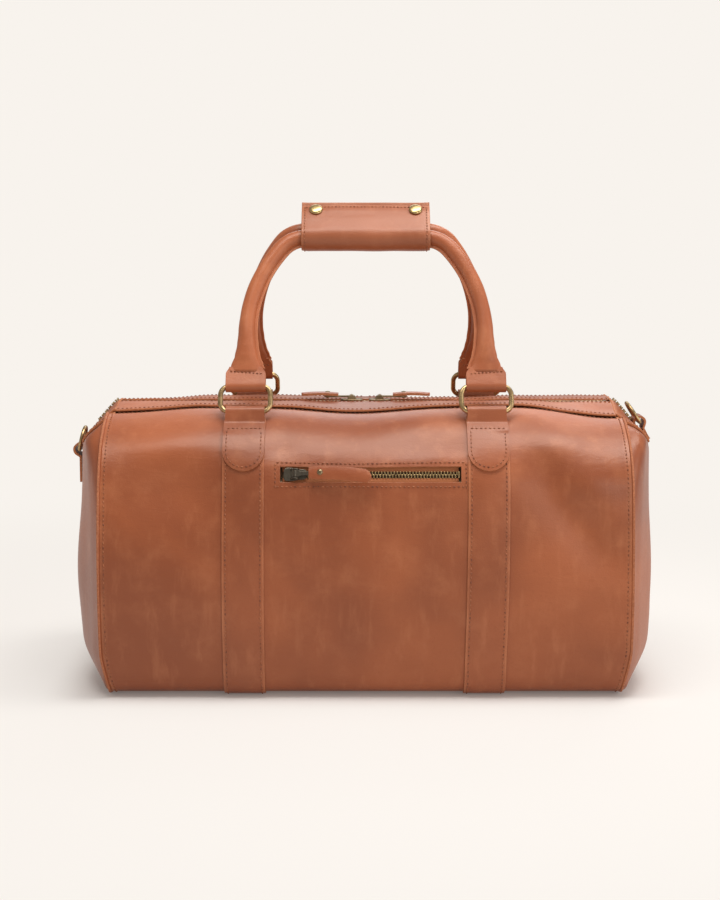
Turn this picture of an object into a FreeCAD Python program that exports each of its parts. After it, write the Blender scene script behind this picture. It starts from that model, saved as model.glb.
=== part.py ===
# Leather weekender bag: a sewn leather shell over a lined main compartment, two arched
# handles on oval rings, a two-way main zip, a zipped front pocket and a D-ring at each end.
# Millimetres, +Z up, the front faces -Y, the origin lies under the middle of the bag.
import FreeCAD, Part
import math
import os

Vector = FreeCAD.Vector
doc = FreeCAD.newDocument("weekender_bag")

# ---------------------------------------------------------------- driving dimensions
DIMENSIONS = [
    ("leather", 2.0), ("panel_length", 460.0), ("body_depth", 248.0), ("belly_height", 95.0),
    ("side_radius", 420.0), ("corner_radius", 22.0), ("shoulder_radius", 80.0),
    ("body_top", 247.9), ("half_opening", 42.0), ("end_bulge", 28.0), ("end_radius", 290.0),
    ("strip_top", 250.0), ("strip_length", 449.0), ("strip_edge", 8.0), ("end_slope", 47.0),
    ("facing_length", 43.0), ("facing_width", 83.0), ("strap_width", 36.0),
    ("strap_spacing", 212.0), ("chape_end", 23.0), ("loop_angle", 65.0), ("loop_width", 34.0),
    ("loop_bore", 3.2), ("ring_wire", 4.5), ("ring_width", 44.0), ("ring_height", 23.5),
    ("ring_corner", 8.0), ("ring_lean", 25.0), ("grip_diameter", 14.0), ("grip_straight", 54.0),
    ("grip_bend", 29.0), ("leg_height", 49.0), ("grip_spacing", 16.0),
    ("front_grip_height", 398.0), ("rear_grip_height", 404.0), ("wrap_length", 116.0),
    ("wrap_gap", 1.0), ("fin_height", 18.0), ("cap_diameter", 12.0), ("cap_spacing", 90.0),
    ("tape", 0.8), ("teeth_thickness", 3.0), ("teeth_width", 2.3), ("teeth_gap", 0.9),
    ("slider_length", 20.0), ("slider_width", 12.0), ("slider_home", 13.0), ("plate", 1.6),
    ("pin_diameter", 1.6), ("main_pull", 46.0), ("pocket_pull", 66.0), ("pull_width", 12.0),
    ("pull_start", 12.0), ("pull_rivet", 22.0),
    ("pocket_left", -74.0), ("pocket_right", 82.0), ("pocket_window", 14.0),
    ("pocket_angle", 21.4), ("pocket_depth", 130.0), ("tab_width", 20.0), ("dee_width", 26.0),
    ("dee_height", 20.0), ("dee_wire", 3.2), ("left_dee_height", 205.0), ("right_dee_run", 31.0),
    ("board_length", 420.0), ("board_width", 180.0), ("board", 3.0), ("lining", 1.0),
]
sheet = doc.addObject("Spreadsheet::Sheet", "Sizes")
for row, (alias, value) in enumerate(DIMENSIONS, start=1):
    sheet.set(f"A{row}", alias)
    sheet.set(f"B{row}", str(value))
    sheet.setAlias(f"B{row}", alias)
doc.recompute()


def size(alias):
    """The value of one driving dimension."""
    return float(sheet.get(alias))


LEATHER = size("leather")
GAP = 0.1                 # pieces sewn to each other inside one body
CLEAR = 0.4               # pieces that move against each other
HALF_PANEL = size("panel_length") / 2
pieces = []

# ---------------------------------------------------------------- the cross-section
# Each half of the section is three tangent arcs: bottom corner, side and shoulder.
# The centres are for the front half; the rear half is its mirror image.
BASE = LEATHER
side_centre = Vector(size("side_radius") - size("body_depth") / 2, size("belly_height"), 0)
corner_z = BASE + size("corner_radius")
corner_reach = size("side_radius") - size("corner_radius")
corner_centre = Vector(
    side_centre.x - math.sqrt(corner_reach ** 2 - (side_centre.y - corner_z) ** 2), corner_z, 0)
shoulder_z = size("body_top") - size("shoulder_radius")
shoulder_reach = size("side_radius") - size("shoulder_radius")
shoulder_centre = Vector(
    side_centre.x - math.sqrt(shoulder_reach ** 2 - (shoulder_z - side_centre.y) ** 2),
    shoulder_z, 0)


def direction(start, end):
    """Angle in degrees of the line from one centre to another."""
    return math.degrees(math.atan2(end.y - start.y, end.x - start.x)) % 360


def on_arc(centre, radius, degrees):
    """The point of a circle at an angle."""
    turn = math.radians(degrees)
    return centre + Vector(radius * math.cos(turn), radius * math.sin(turn), 0)


LOW_TANGENT = direction(side_centre, corner_centre)
HIGH_TANGENT = direction(side_centre, shoulder_centre)
SEAM_ANGLE = math.degrees(math.acos(
    (-size("half_opening") - shoulder_centre.x) / size("shoulder_radius")))


def arc(centre, radius, first, last):
    return Part.ArcOfCircle(
        Part.Circle(centre, Vector(0, 0, 1), radius), math.radians(first), math.radians(last))


def half_section(offset, top_angle, mirrored=False):
    """Arcs of one half, moved outward by the offset, with the top and bottom end points."""
    spans = [
        (shoulder_centre, size("shoulder_radius") + offset, top_angle, HIGH_TANGENT),
        (side_centre, size("side_radius") + offset, HIGH_TANGENT, LOW_TANGENT),
        (corner_centre, size("corner_radius") + offset, LOW_TANGENT, 270.0),
    ]
    flip = -1 if mirrored else 1
    curves = []
    for centre, radius, first, last in spans:
        middle = Vector(flip * centre.x, centre.y, 0)
        angles = (180 - last, 180 - first) if mirrored else (first, last)
        curves.append(arc(middle, radius, *angles))
    top = on_arc(shoulder_centre, spans[0][1], top_angle)
    bottom = on_arc(corner_centre, spans[2][1], 270.0)
    return curves, Vector(flip * top.x, top.y, 0), Vector(flip * bottom.x, bottom.y, 0)


# ---------------------------------------------------------------- building helpers
def keep(part, label):
    """Name a finished piece and put it on the list to export."""
    part.Label = label
    pieces.append(part)
    return part


def new_body(label):
    return keep(doc.addObject("PartDesign::Body", label), label)


def add_sketch(body, name, role, geometry, distance=0.0):
    """A sketch on one of the body's own origin planes, moved along the plane's normal."""
    sketch = body.newObject("Sketcher::SketchObject", name)
    plane = [item for item in body.Origin.OriginFeatures if item.Role == role][0]
    sketch.AttachmentSupport = [(plane, "")]
    sketch.MapMode = "FlatFace"
    sketch.AttachmentOffset = FreeCAD.Placement(Vector(0, 0, distance), FreeCAD.Rotation())
    sketch.addGeometry(geometry, False)
    return sketch


def add_pad(body, sketch, length):
    """A pad of equal depth on both sides of its sketch; length is an expression."""
    pad = body.newObject("PartDesign::Pad", body.Name + "_pad")
    pad.Profile = sketch
    pad.SideType = "Symmetric"
    pad.setExpression("Length", length)
    body.Tip = pad
    return pad


def lines(*points, closed=True):
    corners = [Vector(x, y, 0) for x, y in points]
    ends = corners[1:] + corners[:1] if closed else corners[1:]
    return [Part.LineSegment(start, end) for start, end in zip(corners, ends)]


def circle(x, y, radius):
    return Part.Circle(Vector(x, y, 0), Vector(0, 0, 1), radius)


def place(part, position, axis=Vector(1, 0, 0), degrees=0.0):
    part.Placement = FreeCAD.Placement(Vector(*position), FreeCAD.Rotation(axis, degrees))


def band(label, outer, inner, top_angle, length, turn=0.0):
    """One half of the shell as a leather band between two offsets of the section."""
    body = new_body(label)
    outside, outer_top, outer_bottom = half_section(outer, top_angle)
    inside, inner_top, inner_bottom = half_section(inner, top_angle)
    closing = [Part.LineSegment(outer_top, inner_top), Part.LineSegment(outer_bottom, inner_bottom)]
    outline = add_sketch(body, label + "_outline", "YZ_Plane", outside + inside + closing)
    add_pad(body, outline, length)
    place(body, (0, 0, 0), Vector(0, 0, 1), turn)
    return body


def block(name, length, width, height, position=(0, 0, 0), axis=Vector(0, 1, 0), degrees=0.0):
    """A box whose three sides are expressions."""
    box = doc.addObject("Part::Box", name)
    box.setExpression("Length", length)
    box.setExpression("Width", width)
    box.setExpression("Height", height)
    place(box, position, axis, degrees)
    return box


def rod(name, diameter, height, position, axis=Vector(1, 0, 0), degrees=0.0):
    """A cylinder whose diameter and height are expressions."""
    cylinder = doc.addObject("Part::Cylinder", name)
    cylinder.setExpression("Radius", f"({diameter}) / 2")
    cylinder.setExpression("Height", height)
    place(cylinder, position, axis, degrees)
    return cylinder


def cut(name, base, tool):
    result = doc.addObject("Part::Cut", name)
    result.Base = base
    result.Tool = tool
    return result


def fuse(name, *shapes):
    result = doc.addObject("Part::MultiFuse", name)
    result.Shapes = list(shapes)
    return result


# ---------------------------------------------------------------- leather shell
# The front panel has the pocket window cut out of it. The window lies on the shoulder arc,
# so everything that belongs to the pocket zip is placed in a frame on that slope.
pocket_turn = size("pocket_angle")
pocket_point = on_arc(shoulder_centre, size("shoulder_radius"), 180 - pocket_turn)
pocket_middle = (size("pocket_left") + size("pocket_right")) / 2
pocket_frame = FreeCAD.Placement(
    Vector(pocket_middle, pocket_point.x, pocket_point.y),
    FreeCAD.Rotation(Vector(1, 0, 0), 90 - pocket_turn))

front_leather = band("front_leather", 0, -LEATHER, SEAM_ANGLE, "Sizes.panel_length")
pieces.remove(front_leather)
window = block("pocket_opening", "Sizes.pocket_right - Sizes.pocket_left",
               "Sizes.pocket_window", "20")
window.Placement = pocket_frame.multiply(FreeCAD.Placement(
    Vector(size("pocket_left") - pocket_middle, -size("pocket_window") / 2, -10),
    FreeCAD.Rotation()))
keep(cut("front_panel", front_leather, window), "front_panel")
band("rear_panel", 0, -LEATHER, SEAM_ANGLE, "Sizes.panel_length", turn=180)

base_panel = block("base_panel", "Sizes.panel_length", str(-2 * corner_centre.x - 2 * GAP),
                   "Sizes.leather", (-HALF_PANEL, corner_centre.x + GAP, BASE))
keep(base_panel, "base_panel")

# Each gusset is a cup: the section carried on past the end seam, rounded in plan and
# cut off at the top by the slope on which the end of the zip lies.
slope = size("end_slope")
slope_start = Vector(size("strip_length") / 2 + LEATHER, 0, size("strip_top"))
slope_along = Vector(math.cos(math.radians(slope)), 0, -math.sin(math.radians(slope)))
slope_normal = Vector(math.sin(math.radians(slope)), 0, math.cos(math.radians(slope)))


def end_solid(name, inset):
    """The closed form of one end, moved inward by the inset."""
    front, front_top, front_bottom = half_section(-inset, 90.0)
    rear, rear_top, rear_bottom = half_section(-inset, 90.0, mirrored=True)
    section = doc.addObject("Sketcher::SketchObject", name + "_section")
    section.Placement = FreeCAD.Placement(
        Vector(HALF_PANEL + GAP, 0, 0), FreeCAD.Rotation(Vector(1, 1, 1), 120))
    section.addGeometry(front + rear + [Part.LineSegment(front_top, rear_top),
                                        Part.LineSegment(front_bottom, rear_bottom)], False)
    prism = doc.addObject("Part::Extrusion", name + "_prism")
    prism.Base = section
    prism.Dir = Vector(1, 0, 0)
    prism.Solid = True
    prism.setExpression("LengthFwd", "Sizes.end_bulge + 10")
    bulge = rod(name + "_bulge", f"2 * (Sizes.end_radius - {inset})", "400",
                (HALF_PANEL + size("end_bulge") - size("end_radius"), 0, -50))
    start = slope_start - slope_normal * (LEATHER + GAP + inset)
    under_slope = block(name + "_under_slope", "300", "400", "300",
                        start - slope_along * 60 - slope_normal * 300 - Vector(0, 200, 0),
                        Vector(0, 1, 0), slope)
    common = doc.addObject("Part::MultiCommon", name)
    common.Shapes = [prism, bulge, under_slope]
    return common


for side, turn in (("left", 180), ("right", 0)):
    gusset = keep(cut(side + "_gusset", end_solid(side + "_end", 0),
                      end_solid(side + "_end_hollow", LEATHER)), side + "_gusset")
    place(gusset, (0, 0, 0), Vector(0, 0, 1), turn)

# Sloping end pieces carry the last stretch of the zip down over the gussets.
for side, turn in (("left", 180), ("right", 0)):
    corner = slope_start - slope_normal * LEATHER - Vector(0, size("facing_width") / 2, 0)
    facing_plate = block(side + "_facing_plate", "Sizes.facing_length", "Sizes.facing_width",
                         "Sizes.leather", corner, Vector(0, 1, 0), slope)
    rib = block(side + "_zip_end", "20", "6", "1.6",
                slope_start + slope_along * 2 - Vector(0, 3, 0), Vector(0, 1, 0), slope)
    facing = keep(fuse(side + "_facing", facing_plate, rib), side + "_facing")
    place(facing, (0, 0, 0), Vector(0, 0, 1), turn)

# Top strips: one each side of the main zip. Each turns about the seam on its panel.
strip_start = size("half_opening") - CLEAR
for side in ("front", "rear"):
    strip = block("top_strip_" + side, "Sizes.strip_length",
                  f"Sizes.half_opening - {CLEAR} - Sizes.strip_edge", "Sizes.leather",
                  (-size("strip_length") / 2, size("strip_edge"), size("strip_top") - LEATHER))
    if side == "front":
        strip.Placement.Base.y = -strip_start
    keep(strip, "top_strip_" + side)

# ---------------------------------------------------------------- inside
# The lining is a thin tub that follows the shell, clear of the pocket hung behind the front.
lining_gap = LEATHER + 5.0


def tub_solid(name, inset, half_length):
    """A closed prism with the section moved inward, open to the top when cut."""
    body = doc.addObject("PartDesign::Body", name)
    front, front_top, front_bottom = half_section(-inset, 100.0)
    rear, rear_top, rear_bottom = half_section(-inset, 100.0, mirrored=True)
    outline = add_sketch(body, name + "_outline", "YZ_Plane",
                         front + rear + [Part.LineSegment(front_top, rear_top),
                                         Part.LineSegment(front_bottom, rear_bottom)])
    add_pad(body, outline, f"Sizes.panel_length - {2 * (HALF_PANEL - half_length)}")
    return body


tub = cut("lining_shell", tub_solid("lining_outside", lining_gap, HALF_PANEL - 3),
          tub_solid("lining_inside", lining_gap + size("lining"), HALF_PANEL - 4))
mouth = block("lining_mouth", "Sizes.panel_length", "2 * Sizes.half_opening + 6", "30",
              (-HALF_PANEL, -size("half_opening") - 3, size("body_top") - 18))
keep(cut("lining", tub, mouth), "lining")

board = block("base_board", "Sizes.board_length", "Sizes.board_width", "Sizes.board",
              (-size("board_length") / 2, -size("board_width") / 2, BASE + LEATHER + GAP))
keep(board, "base_board")

# The pocket bag hangs behind the window, flat against the front panel.
pocket_bag = new_body("pocket_bag")
pocket_outer = size("side_radius") - LEATHER - 1.2
pocket_inner = pocket_outer - 1.6
low_turn = HIGH_TANGENT + math.degrees(size("pocket_depth") / size("side_radius"))
bag_arcs = [arc(side_centre, pocket_outer, HIGH_TANGENT, low_turn),
            arc(side_centre, pocket_inner, HIGH_TANGENT, low_turn)]
bag_ends = [Part.LineSegment(on_arc(side_centre, pocket_outer, turn),
                             on_arc(side_centre, pocket_inner, turn))
            for turn in (HIGH_TANGENT, low_turn)]
bag_outline = add_sketch(pocket_bag, "pocket_bag_outline", "YZ_Plane", bag_arcs + bag_ends)
add_pad(pocket_bag, bag_outline, "Sizes.pocket_right - Sizes.pocket_left + 14")
place(pocket_bag, (pocket_middle, 0, 0))

# ---------------------------------------------------------------- straps, chapes and rings
# Two straps run from the front rings under the base to the rear rings.
loop_outer = size("loop_bore") + LEATHER
strap_outer = LEATHER
chape_inner = strap_outer + GAP
loop_turn = 180 - size("loop_angle")
loop_centre = on_arc(shoulder_centre, size("shoulder_radius") + chape_inner + loop_outer, loop_turn)
half_spacing = size("strap_spacing") / 2


def strap(label, x):
    """A strap sewn over the shell from the front rings round the base to the rear rings."""
    body = new_body(label)
    outline = []
    ends = []
    for offset in (strap_outer, GAP):
        front, front_top, front_bottom = half_section(offset, loop_turn)
        rear, rear_top, rear_bottom = half_section(offset, loop_turn, mirrored=True)
        outline += front + rear + [Part.LineSegment(front_bottom, rear_bottom)]
        ends.append((front_top, rear_top))
    outline += [Part.LineSegment(outer, inner) for outer, inner in zip(*ends)]
    add_pad(body, add_sketch(body, label + "_outline", "YZ_Plane", outline), "Sizes.strap_width")
    place(body, (x, 0, 0))


def chape(label, x, turn):
    """A tongue with a rounded end, folded round the lower bar of a ring."""
    band_body = doc.addObject("PartDesign::Body", label + "_tongue")
    outer = size("shoulder_radius") + chape_inner + LEATHER
    inner = size("shoulder_radius") + chape_inner
    last = 180 - size("chape_end")
    outline = [arc(shoulder_centre, outer, loop_turn, last),
               arc(shoulder_centre, inner, loop_turn, last)]
    outline += [Part.LineSegment(on_arc(shoulder_centre, outer, angle),
                                 on_arc(shoulder_centre, inner, angle))
                for angle in (loop_turn, last)]
    add_pad(band_body, add_sketch(band_body, label + "_band", "YZ_Plane", outline),
            "Sizes.strap_width")
    tip = on_arc(shoulder_centre, inner, last)
    radius = size("strap_width") / 2
    rounding = block(label + "_rounding", "Sizes.strap_width + 4", "60", "Sizes.strap_width / 2",
                     (-radius - 2, -140, tip.y))
    disc = rod(label + "_disc", "Sizes.strap_width", "60", (0, -80, tip.y + radius),
               Vector(1, 0, 0), 90)
    tongue = cut(label + "_round", band_body, cut(label + "_corners", rounding, disc))
    tube = rod(label + "_tube", "2 * Sizes.loop_bore + 2 * Sizes.leather", "Sizes.loop_width",
               (-size("loop_width") / 2, loop_centre.x, loop_centre.y), Vector(0, 1, 0), 90)
    bore = rod(label + "_bore", "2 * Sizes.loop_bore", "Sizes.strap_width + 4",
               (-radius - 2, loop_centre.x, loop_centre.y), Vector(0, 1, 0), 90)
    loop = keep(cut(label, fuse(label + "_solid", tongue, tube), bore), label)
    place(loop, (x, 0, 0), Vector(0, 0, 1), turn)


def rounded_path(width, height, lower, upper):
    """A closed wire path: a box with its lower and upper corners rounded."""
    half = width / 2
    path = [arc(Vector(-half + lower, lower, 0), lower, 180, 270),
            Part.LineSegment(Vector(-half + lower, 0, 0), Vector(half - lower, 0, 0)),
            arc(Vector(half - lower, lower, 0), lower, 270, 360),
            Part.LineSegment(Vector(half, lower, 0), Vector(half, height - upper, 0)),
            arc(Vector(half - upper, height - upper, 0), upper, 0, 90)]
    if half - upper > 0.01:
        path.append(Part.LineSegment(Vector(half - upper, height, 0),
                                     Vector(-half + upper, height, 0)))
    path += [arc(Vector(-half + upper, height - upper, 0), upper, 90, 180),
             Part.LineSegment(Vector(-half, height - upper, 0), Vector(-half, lower, 0))]
    return path


def wire_ring(label, path, wire, position, rotation):
    """Round wire bent along a closed path that starts at the middle of its lower bar."""
    body = new_body(label)
    spine = add_sketch(body, label + "_path", "XZ_Plane", path)
    section = add_sketch(body, label + "_section", "YZ_Plane", [circle(0, 0, wire / 2)])
    pipe = body.newObject("PartDesign::AdditivePipe", label + "_pipe")
    pipe.Profile = section
    pipe.Spine = spine
    body.Tip = pipe
    body.Placement = FreeCAD.Placement(Vector(*position), rotation)


# ---------------------------------------------------------------- handles
# Each handle is a leather cover rolled round a rope core, flattened at both ends and
# folded round the upper bars of its rings. It is drawn upright and then leaned inward.
lean = math.radians(size("ring_lean"))
upper_bar = Vector(0, loop_centre.x + size("ring_height") * math.sin(lean),
                   loop_centre.y + size("ring_height") * math.cos(lean))


def handle(side, grip_height, turn):
    """A leather cover and its rope core, leaned from the ring's bar to the grip."""
    run = -upper_bar.y - size("grip_spacing") / 2
    rise = grip_height - upper_bar.z
    length = math.hypot(run, rise)
    tilt = math.degrees(math.atan2(run, rise))
    straight = size("grip_straight")
    bend = size("grip_bend")
    across = half_spacing - straight
    up = length - size("leg_height")
    leg_bend = (across ** 2 + up ** 2 - 2 * up * bend) / (2 * (across - bend))
    small = Vector(straight, length - bend, 0)
    large = Vector(half_spacing - leg_bend, size("leg_height"), 0)
    meet = direction(large, small)
    bends = [(Vector(flip * centre.x, 0, centre.y), radius, first if flip == 1 else 180 - last,
              last - first)
             for flip in (1, -1)
             for centre, radius, first, last in ((small, bend, meet, 90), (large, leg_bend, 0, meet))]
    position = (0, -upper_bar.y, upper_bar.z) if turn else tuple(upper_bar)
    rotation = FreeCAD.Rotation(Vector(0, 0, 1), turn).multiply(
        FreeCAD.Rotation(Vector(1, 0, 0), -tilt))
    outside = size("grip_diameter")
    inside = outside - 2 * LEATHER
    shell = cut(f"handle_{side}_tube", arch(f"handle_{side}_outside", bends, length, outside),
                arch(f"handle_{side}_inside", bends, length, inside))
    ends = []
    eyes = []
    for index, x in enumerate((-half_spacing, half_spacing)):
        name = f"handle_{side}_end_{index}"
        ends.append(flattened_end(name + "_flare", x))
        ends.append(rod(name + "_loop", "2 * (Sizes.loop_bore + Sizes.leather)",
                        "Sizes.loop_width", (x - size("loop_width") / 2, 0, 0),
                        Vector(0, 1, 0), 90))
        eyes.append(rod(name + "_eye", "2 * Sizes.loop_bore", "Sizes.loop_width + 4",
                        (x - size("loop_width") / 2 - 2, 0, 0), Vector(0, 1, 0), 90))
    cover = keep(cut(f"handle_{side}_cover", fuse(f"handle_{side}_leather", shell, *ends),
                     fuse(f"handle_{side}_eyes", *eyes)), f"handle_{side}_cover")
    core = keep(arch(f"handle_{side}_core", bends, length, inside - 0.4), f"handle_{side}_core")
    for part in (cover, core):
        part.Placement = FreeCAD.Placement(Vector(*position), rotation)


def arch(name, bends, length, diameter):
    """The round arch of a handle, drawn upright: a straight grip and two bends each side."""
    runs = [rod(name + "_grip", str(diameter), "2 * Sizes.grip_straight",
                (-size("grip_straight"), 0, length), Vector(0, 1, 0), 90)]
    for index, (centre, radius, first, sweep) in enumerate(bends):
        bend = doc.addObject("Part::Torus", f"{name}_bend_{index}")
        bend.Radius1 = radius
        bend.Radius2 = diameter / 2
        bend.Angle3 = sweep
        bend.Placement = FreeCAD.Placement(centre, FreeCAD.Rotation(
            Vector(0, -1, 0), first).multiply(FreeCAD.Rotation(Vector(1, 0, 0), 90)))
        runs.append(bend)
    return fuse(name, *runs)


def flattened_end(name, x):
    """The leather of one leg, round at the arch and flat where it folds over the ring."""
    body = doc.addObject("PartDesign::Body", name)
    low = add_sketch(body, name + "_flat", "XY_Plane",
                     [Part.Ellipse(Vector(x, 0, 0), size("loop_width") / 2, loop_outer - 0.6)],
                     size("loop_bore") + 0.8)
    high = add_sketch(body, name + "_round", "XY_Plane",
                      [circle(x, 0, size("grip_diameter") / 2)], size("leg_height"))
    flare = body.newObject("PartDesign::AdditiveLoft", name + "_loft")
    flare.Profile = low
    flare.Sections = [high]
    body.Tip = flare
    return body


ring_path = rounded_path(size("ring_width"), size("ring_height"),
                         size("ring_corner"), size("ring_corner"))
for side, x in (("left", -half_spacing), ("right", half_spacing)):
    strap("strap_" + side, x)
    for end, turn in (("front", 0), ("rear", 180)):
        sign = -1 if turn else 1
        chape(f"chape_{end}_{side}", x, turn)
        wire_ring(f"ring_{end}_{side}", ring_path, size("ring_wire"),
                  (x, sign * loop_centre.x, loop_centre.y),
                  FreeCAD.Rotation(Vector(1, 0, 0), -sign * size("ring_lean")))

handle("front", size("front_grip_height"), 0)
handle("rear", size("rear_grip_height"), 180)

# ---------------------------------------------------------------- grip wrap
# The wrap is sewn to the rear handle and its flap closes round the front one. Both end in
# a fin that stands up behind the handles, where two snaps hold them together. The shapes
# are drawn with the line from the front grip to the rear grip as their own x axis.
front_grip = Vector(-size("grip_spacing") / 2, size("front_grip_height"), 0)
rear_grip = Vector(size("grip_spacing") / 2, size("rear_grip_height"), 0)
wrap_tilt = direction(front_grip, rear_grip)
half_grips = (rear_grip - front_grip).Length / 2
wrap_middle = (front_grip + rear_grip) * 0.5
wrap_inner = size("grip_diameter") / 2 + size("wrap_gap")
wrap_outer = wrap_inner + LEATHER
flap_inner = wrap_outer + 0.3
flap_outer = flap_inner + LEATHER
fin = size("fin_height") * math.sqrt(0.5)        # the fins stand at 45 degrees
fin_foot = 4.0
fin_skin = LEATHER * math.sqrt(2)                # their thickness measured along x
wrap_place = FreeCAD.Placement(Vector(0, wrap_middle.x, wrap_middle.y),
                               FreeCAD.Rotation(Vector(1, 0, 0), wrap_tilt))


def wrap_piece(label, geometry):
    """One leather piece of the grip wrap, drawn in the plane across the handles."""
    body = new_body(label)
    add_pad(body, add_sketch(body, label + "_outline", "YZ_Plane", geometry), "Sizes.wrap_length")
    body.Placement = wrap_place


rear_end = Vector(half_grips, 0, 0)
wrap_piece("grip_wrap", [arc(rear_end, wrap_inner, 270, 450), arc(rear_end, wrap_outer, 270, 450)]
           + lines((half_grips, -wrap_inner), (-6, -wrap_inner), (-6, -wrap_outer),
                   (half_grips, -wrap_outer), closed=False)
           + lines((half_grips, wrap_inner), (fin_foot, wrap_inner), (fin_foot, wrap_outer),
                   (fin_foot + fin, wrap_outer + fin), (fin_foot + fin + fin_skin, wrap_outer + fin),
                   (fin_foot + fin_skin, wrap_outer), (half_grips, wrap_outer), closed=False))
front_end = Vector(-half_grips, 0, 0)
flap_foot = fin_foot - 0.1
flap_rise = fin - 0.3
wrap_piece("grip_flap", [arc(front_end, flap_inner, 90, 270), arc(front_end, flap_outer, 90, 270)]
           + lines((-half_grips, -flap_inner), (-2, -flap_inner), (-2, -flap_outer),
                   (-half_grips, -flap_outer), closed=False)
           + lines((-half_grips, flap_inner), (flap_foot, flap_inner),
                   (flap_foot + flap_rise, flap_inner + flap_rise),
                   (flap_foot + flap_rise - fin_skin, flap_inner + flap_rise),
                   (flap_foot + LEATHER - fin_skin, flap_outer), (-half_grips, flap_outer),
                   closed=False))

# Snap caps sit on the flap's fin and their studs on the fin of the wrap.
cap_up = 0.62 * fin
for label, point, turn, diameter, height in (
        ("snap_caps", (flap_foot - fin_skin + cap_up, flap_inner + cap_up), 45,
         "Sizes.cap_diameter", "2.6"),
        ("snap_studs", (fin_foot + fin_skin + cap_up, wrap_outer + cap_up), -135,
         "Sizes.cap_diameter - 2", "2.0")):
    pair = []
    for x in (-size("cap_spacing") / 2, size("cap_spacing") / 2):
        disc = rod(f"{label}_{len(pair)}", diameter, height, (0, 0, 0))
        disc.Placement = wrap_place.multiply(FreeCAD.Placement(
            Vector(x, point[0], point[1]), FreeCAD.Rotation(Vector(1, 0, 0), turn)))
        pair.append(disc)
    keep(fuse(label, *pair), label)

# ---------------------------------------------------------------- zips
# Heights in a zip are measured from the top of its tapes. A slider has two plates joined
# by a neck between the rows of teeth, and a lug whose pin carries the puller.
PLATE_GAP = 1.7
NECK = 1.0
pin_height = PLATE_GAP + size("plate") + 2.2
knuckle = size("pin_diameter") / 2 + 1.0


def zip_rows(prefix, frame, length, reach, split=True):
    """Tapes and teeth on both sides of a straight zip."""
    for name, sign in (("front", -1), ("rear", 1)):
        inner = size("teeth_gap") + size("teeth_width") + GAP
        tape = block(f"{prefix}_tape_{name}", str(length), str(reach - inner), "Sizes.tape")
        tape_y = inner if sign > 0 else -reach
        teeth = block(f"{prefix}_teeth_{name}", str(length), "Sizes.teeth_width",
                      "Sizes.teeth_thickness")
        teeth_y = size("teeth_gap") if sign > 0 else -size("teeth_gap") - size("teeth_width")
        for part, y, z in ((tape, tape_y, -size("tape")),
                           (teeth, teeth_y, -size("teeth_thickness") / 2)):
            part.Placement = frame.multiply(FreeCAD.Placement(
                Vector(-length / 2, y, z), FreeCAD.Rotation()))
            keep(part, part.Name)


def slider(label, frame):
    """Two plates, the neck between them and the posts and pin that carry the puller."""
    plates = []
    for name, z in (("lower", -PLATE_GAP - size("plate")), ("upper", PLATE_GAP)):
        plates.append(block(f"{label}_{name}", "Sizes.slider_length", "Sizes.slider_width",
                            "Sizes.plate",
                            (-size("slider_length") / 2, -size("slider_width") / 2, z)))
    neck = block(label + "_neck", "6", str(NECK), str(2 * PLATE_GAP), (2, -NECK / 2, -PLATE_GAP))
    posts = [block(f"{label}_post_{index}", "3.4", "1.2", "4.2",
                   (-1.7, y, PLATE_GAP + size("plate"))) for index, y in enumerate((3.4, -4.6))]
    pin = rod(label + "_pin", "Sizes.pin_diameter", "8", (0, 4, pin_height), Vector(1, 0, 0), 90)
    solid = keep(fuse(label, *plates, neck, *posts, pin), label)
    solid.Placement = frame


def puller(prefix, frame, length):
    """The metal link on the pin, the leather tab and the rivet that holds them."""
    barrel = rod(prefix + "_barrel", f"{2 * knuckle}", "6", (0, 3, 0), Vector(1, 0, 0), 90)
    start, rivet_x = size("pull_start"), size("pull_rivet")
    link = block(prefix + "_link", f"{rivet_x + 3}", "6", "1.4", (0, -3, -0.7))
    bore = rod(prefix + "_bore", "Sizes.pin_diameter + 0.6", "10", (0, 5, 0),
               Vector(1, 0, 0), 90)
    hole = rod(prefix + "_hole", "2.6", "4", (rivet_x, 0, -2))
    metal = keep(cut(prefix + "_puller", fuse(prefix + "_metal", barrel, link),
                     fuse(prefix + "_holes", bore, hole)), prefix + "_puller")
    half = size("pull_width") / 2
    strip = block(prefix + "_strip", f"{length - half - start}", "Sizes.pull_width", "2.4",
                  (start, -half, 0.8))
    end = rod(prefix + "_tip", "Sizes.pull_width", "2.4", (length - half, 0, 0.8))
    eyelet = rod(prefix + "_eyelet", "2.6", "6", (rivet_x, 0, -1))
    leather_tab = keep(cut(prefix + "_pull", fuse(prefix + "_tab", strip, end), eyelet),
                       prefix + "_pull")
    shank = rod(prefix + "_shank", "2.4", "4.4", (rivet_x, 0, -0.9))
    head = rod(prefix + "_head", "5", "0.8", (rivet_x, 0, 3.3))
    tail = rod(prefix + "_tail", "4", "0.6", (rivet_x, 0, -1.4))
    rivet = keep(fuse(prefix + "_rivet", shank, head, tail), prefix + "_rivet")
    for part in (metal, leather_tab, rivet):
        part.Placement = frame


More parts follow.
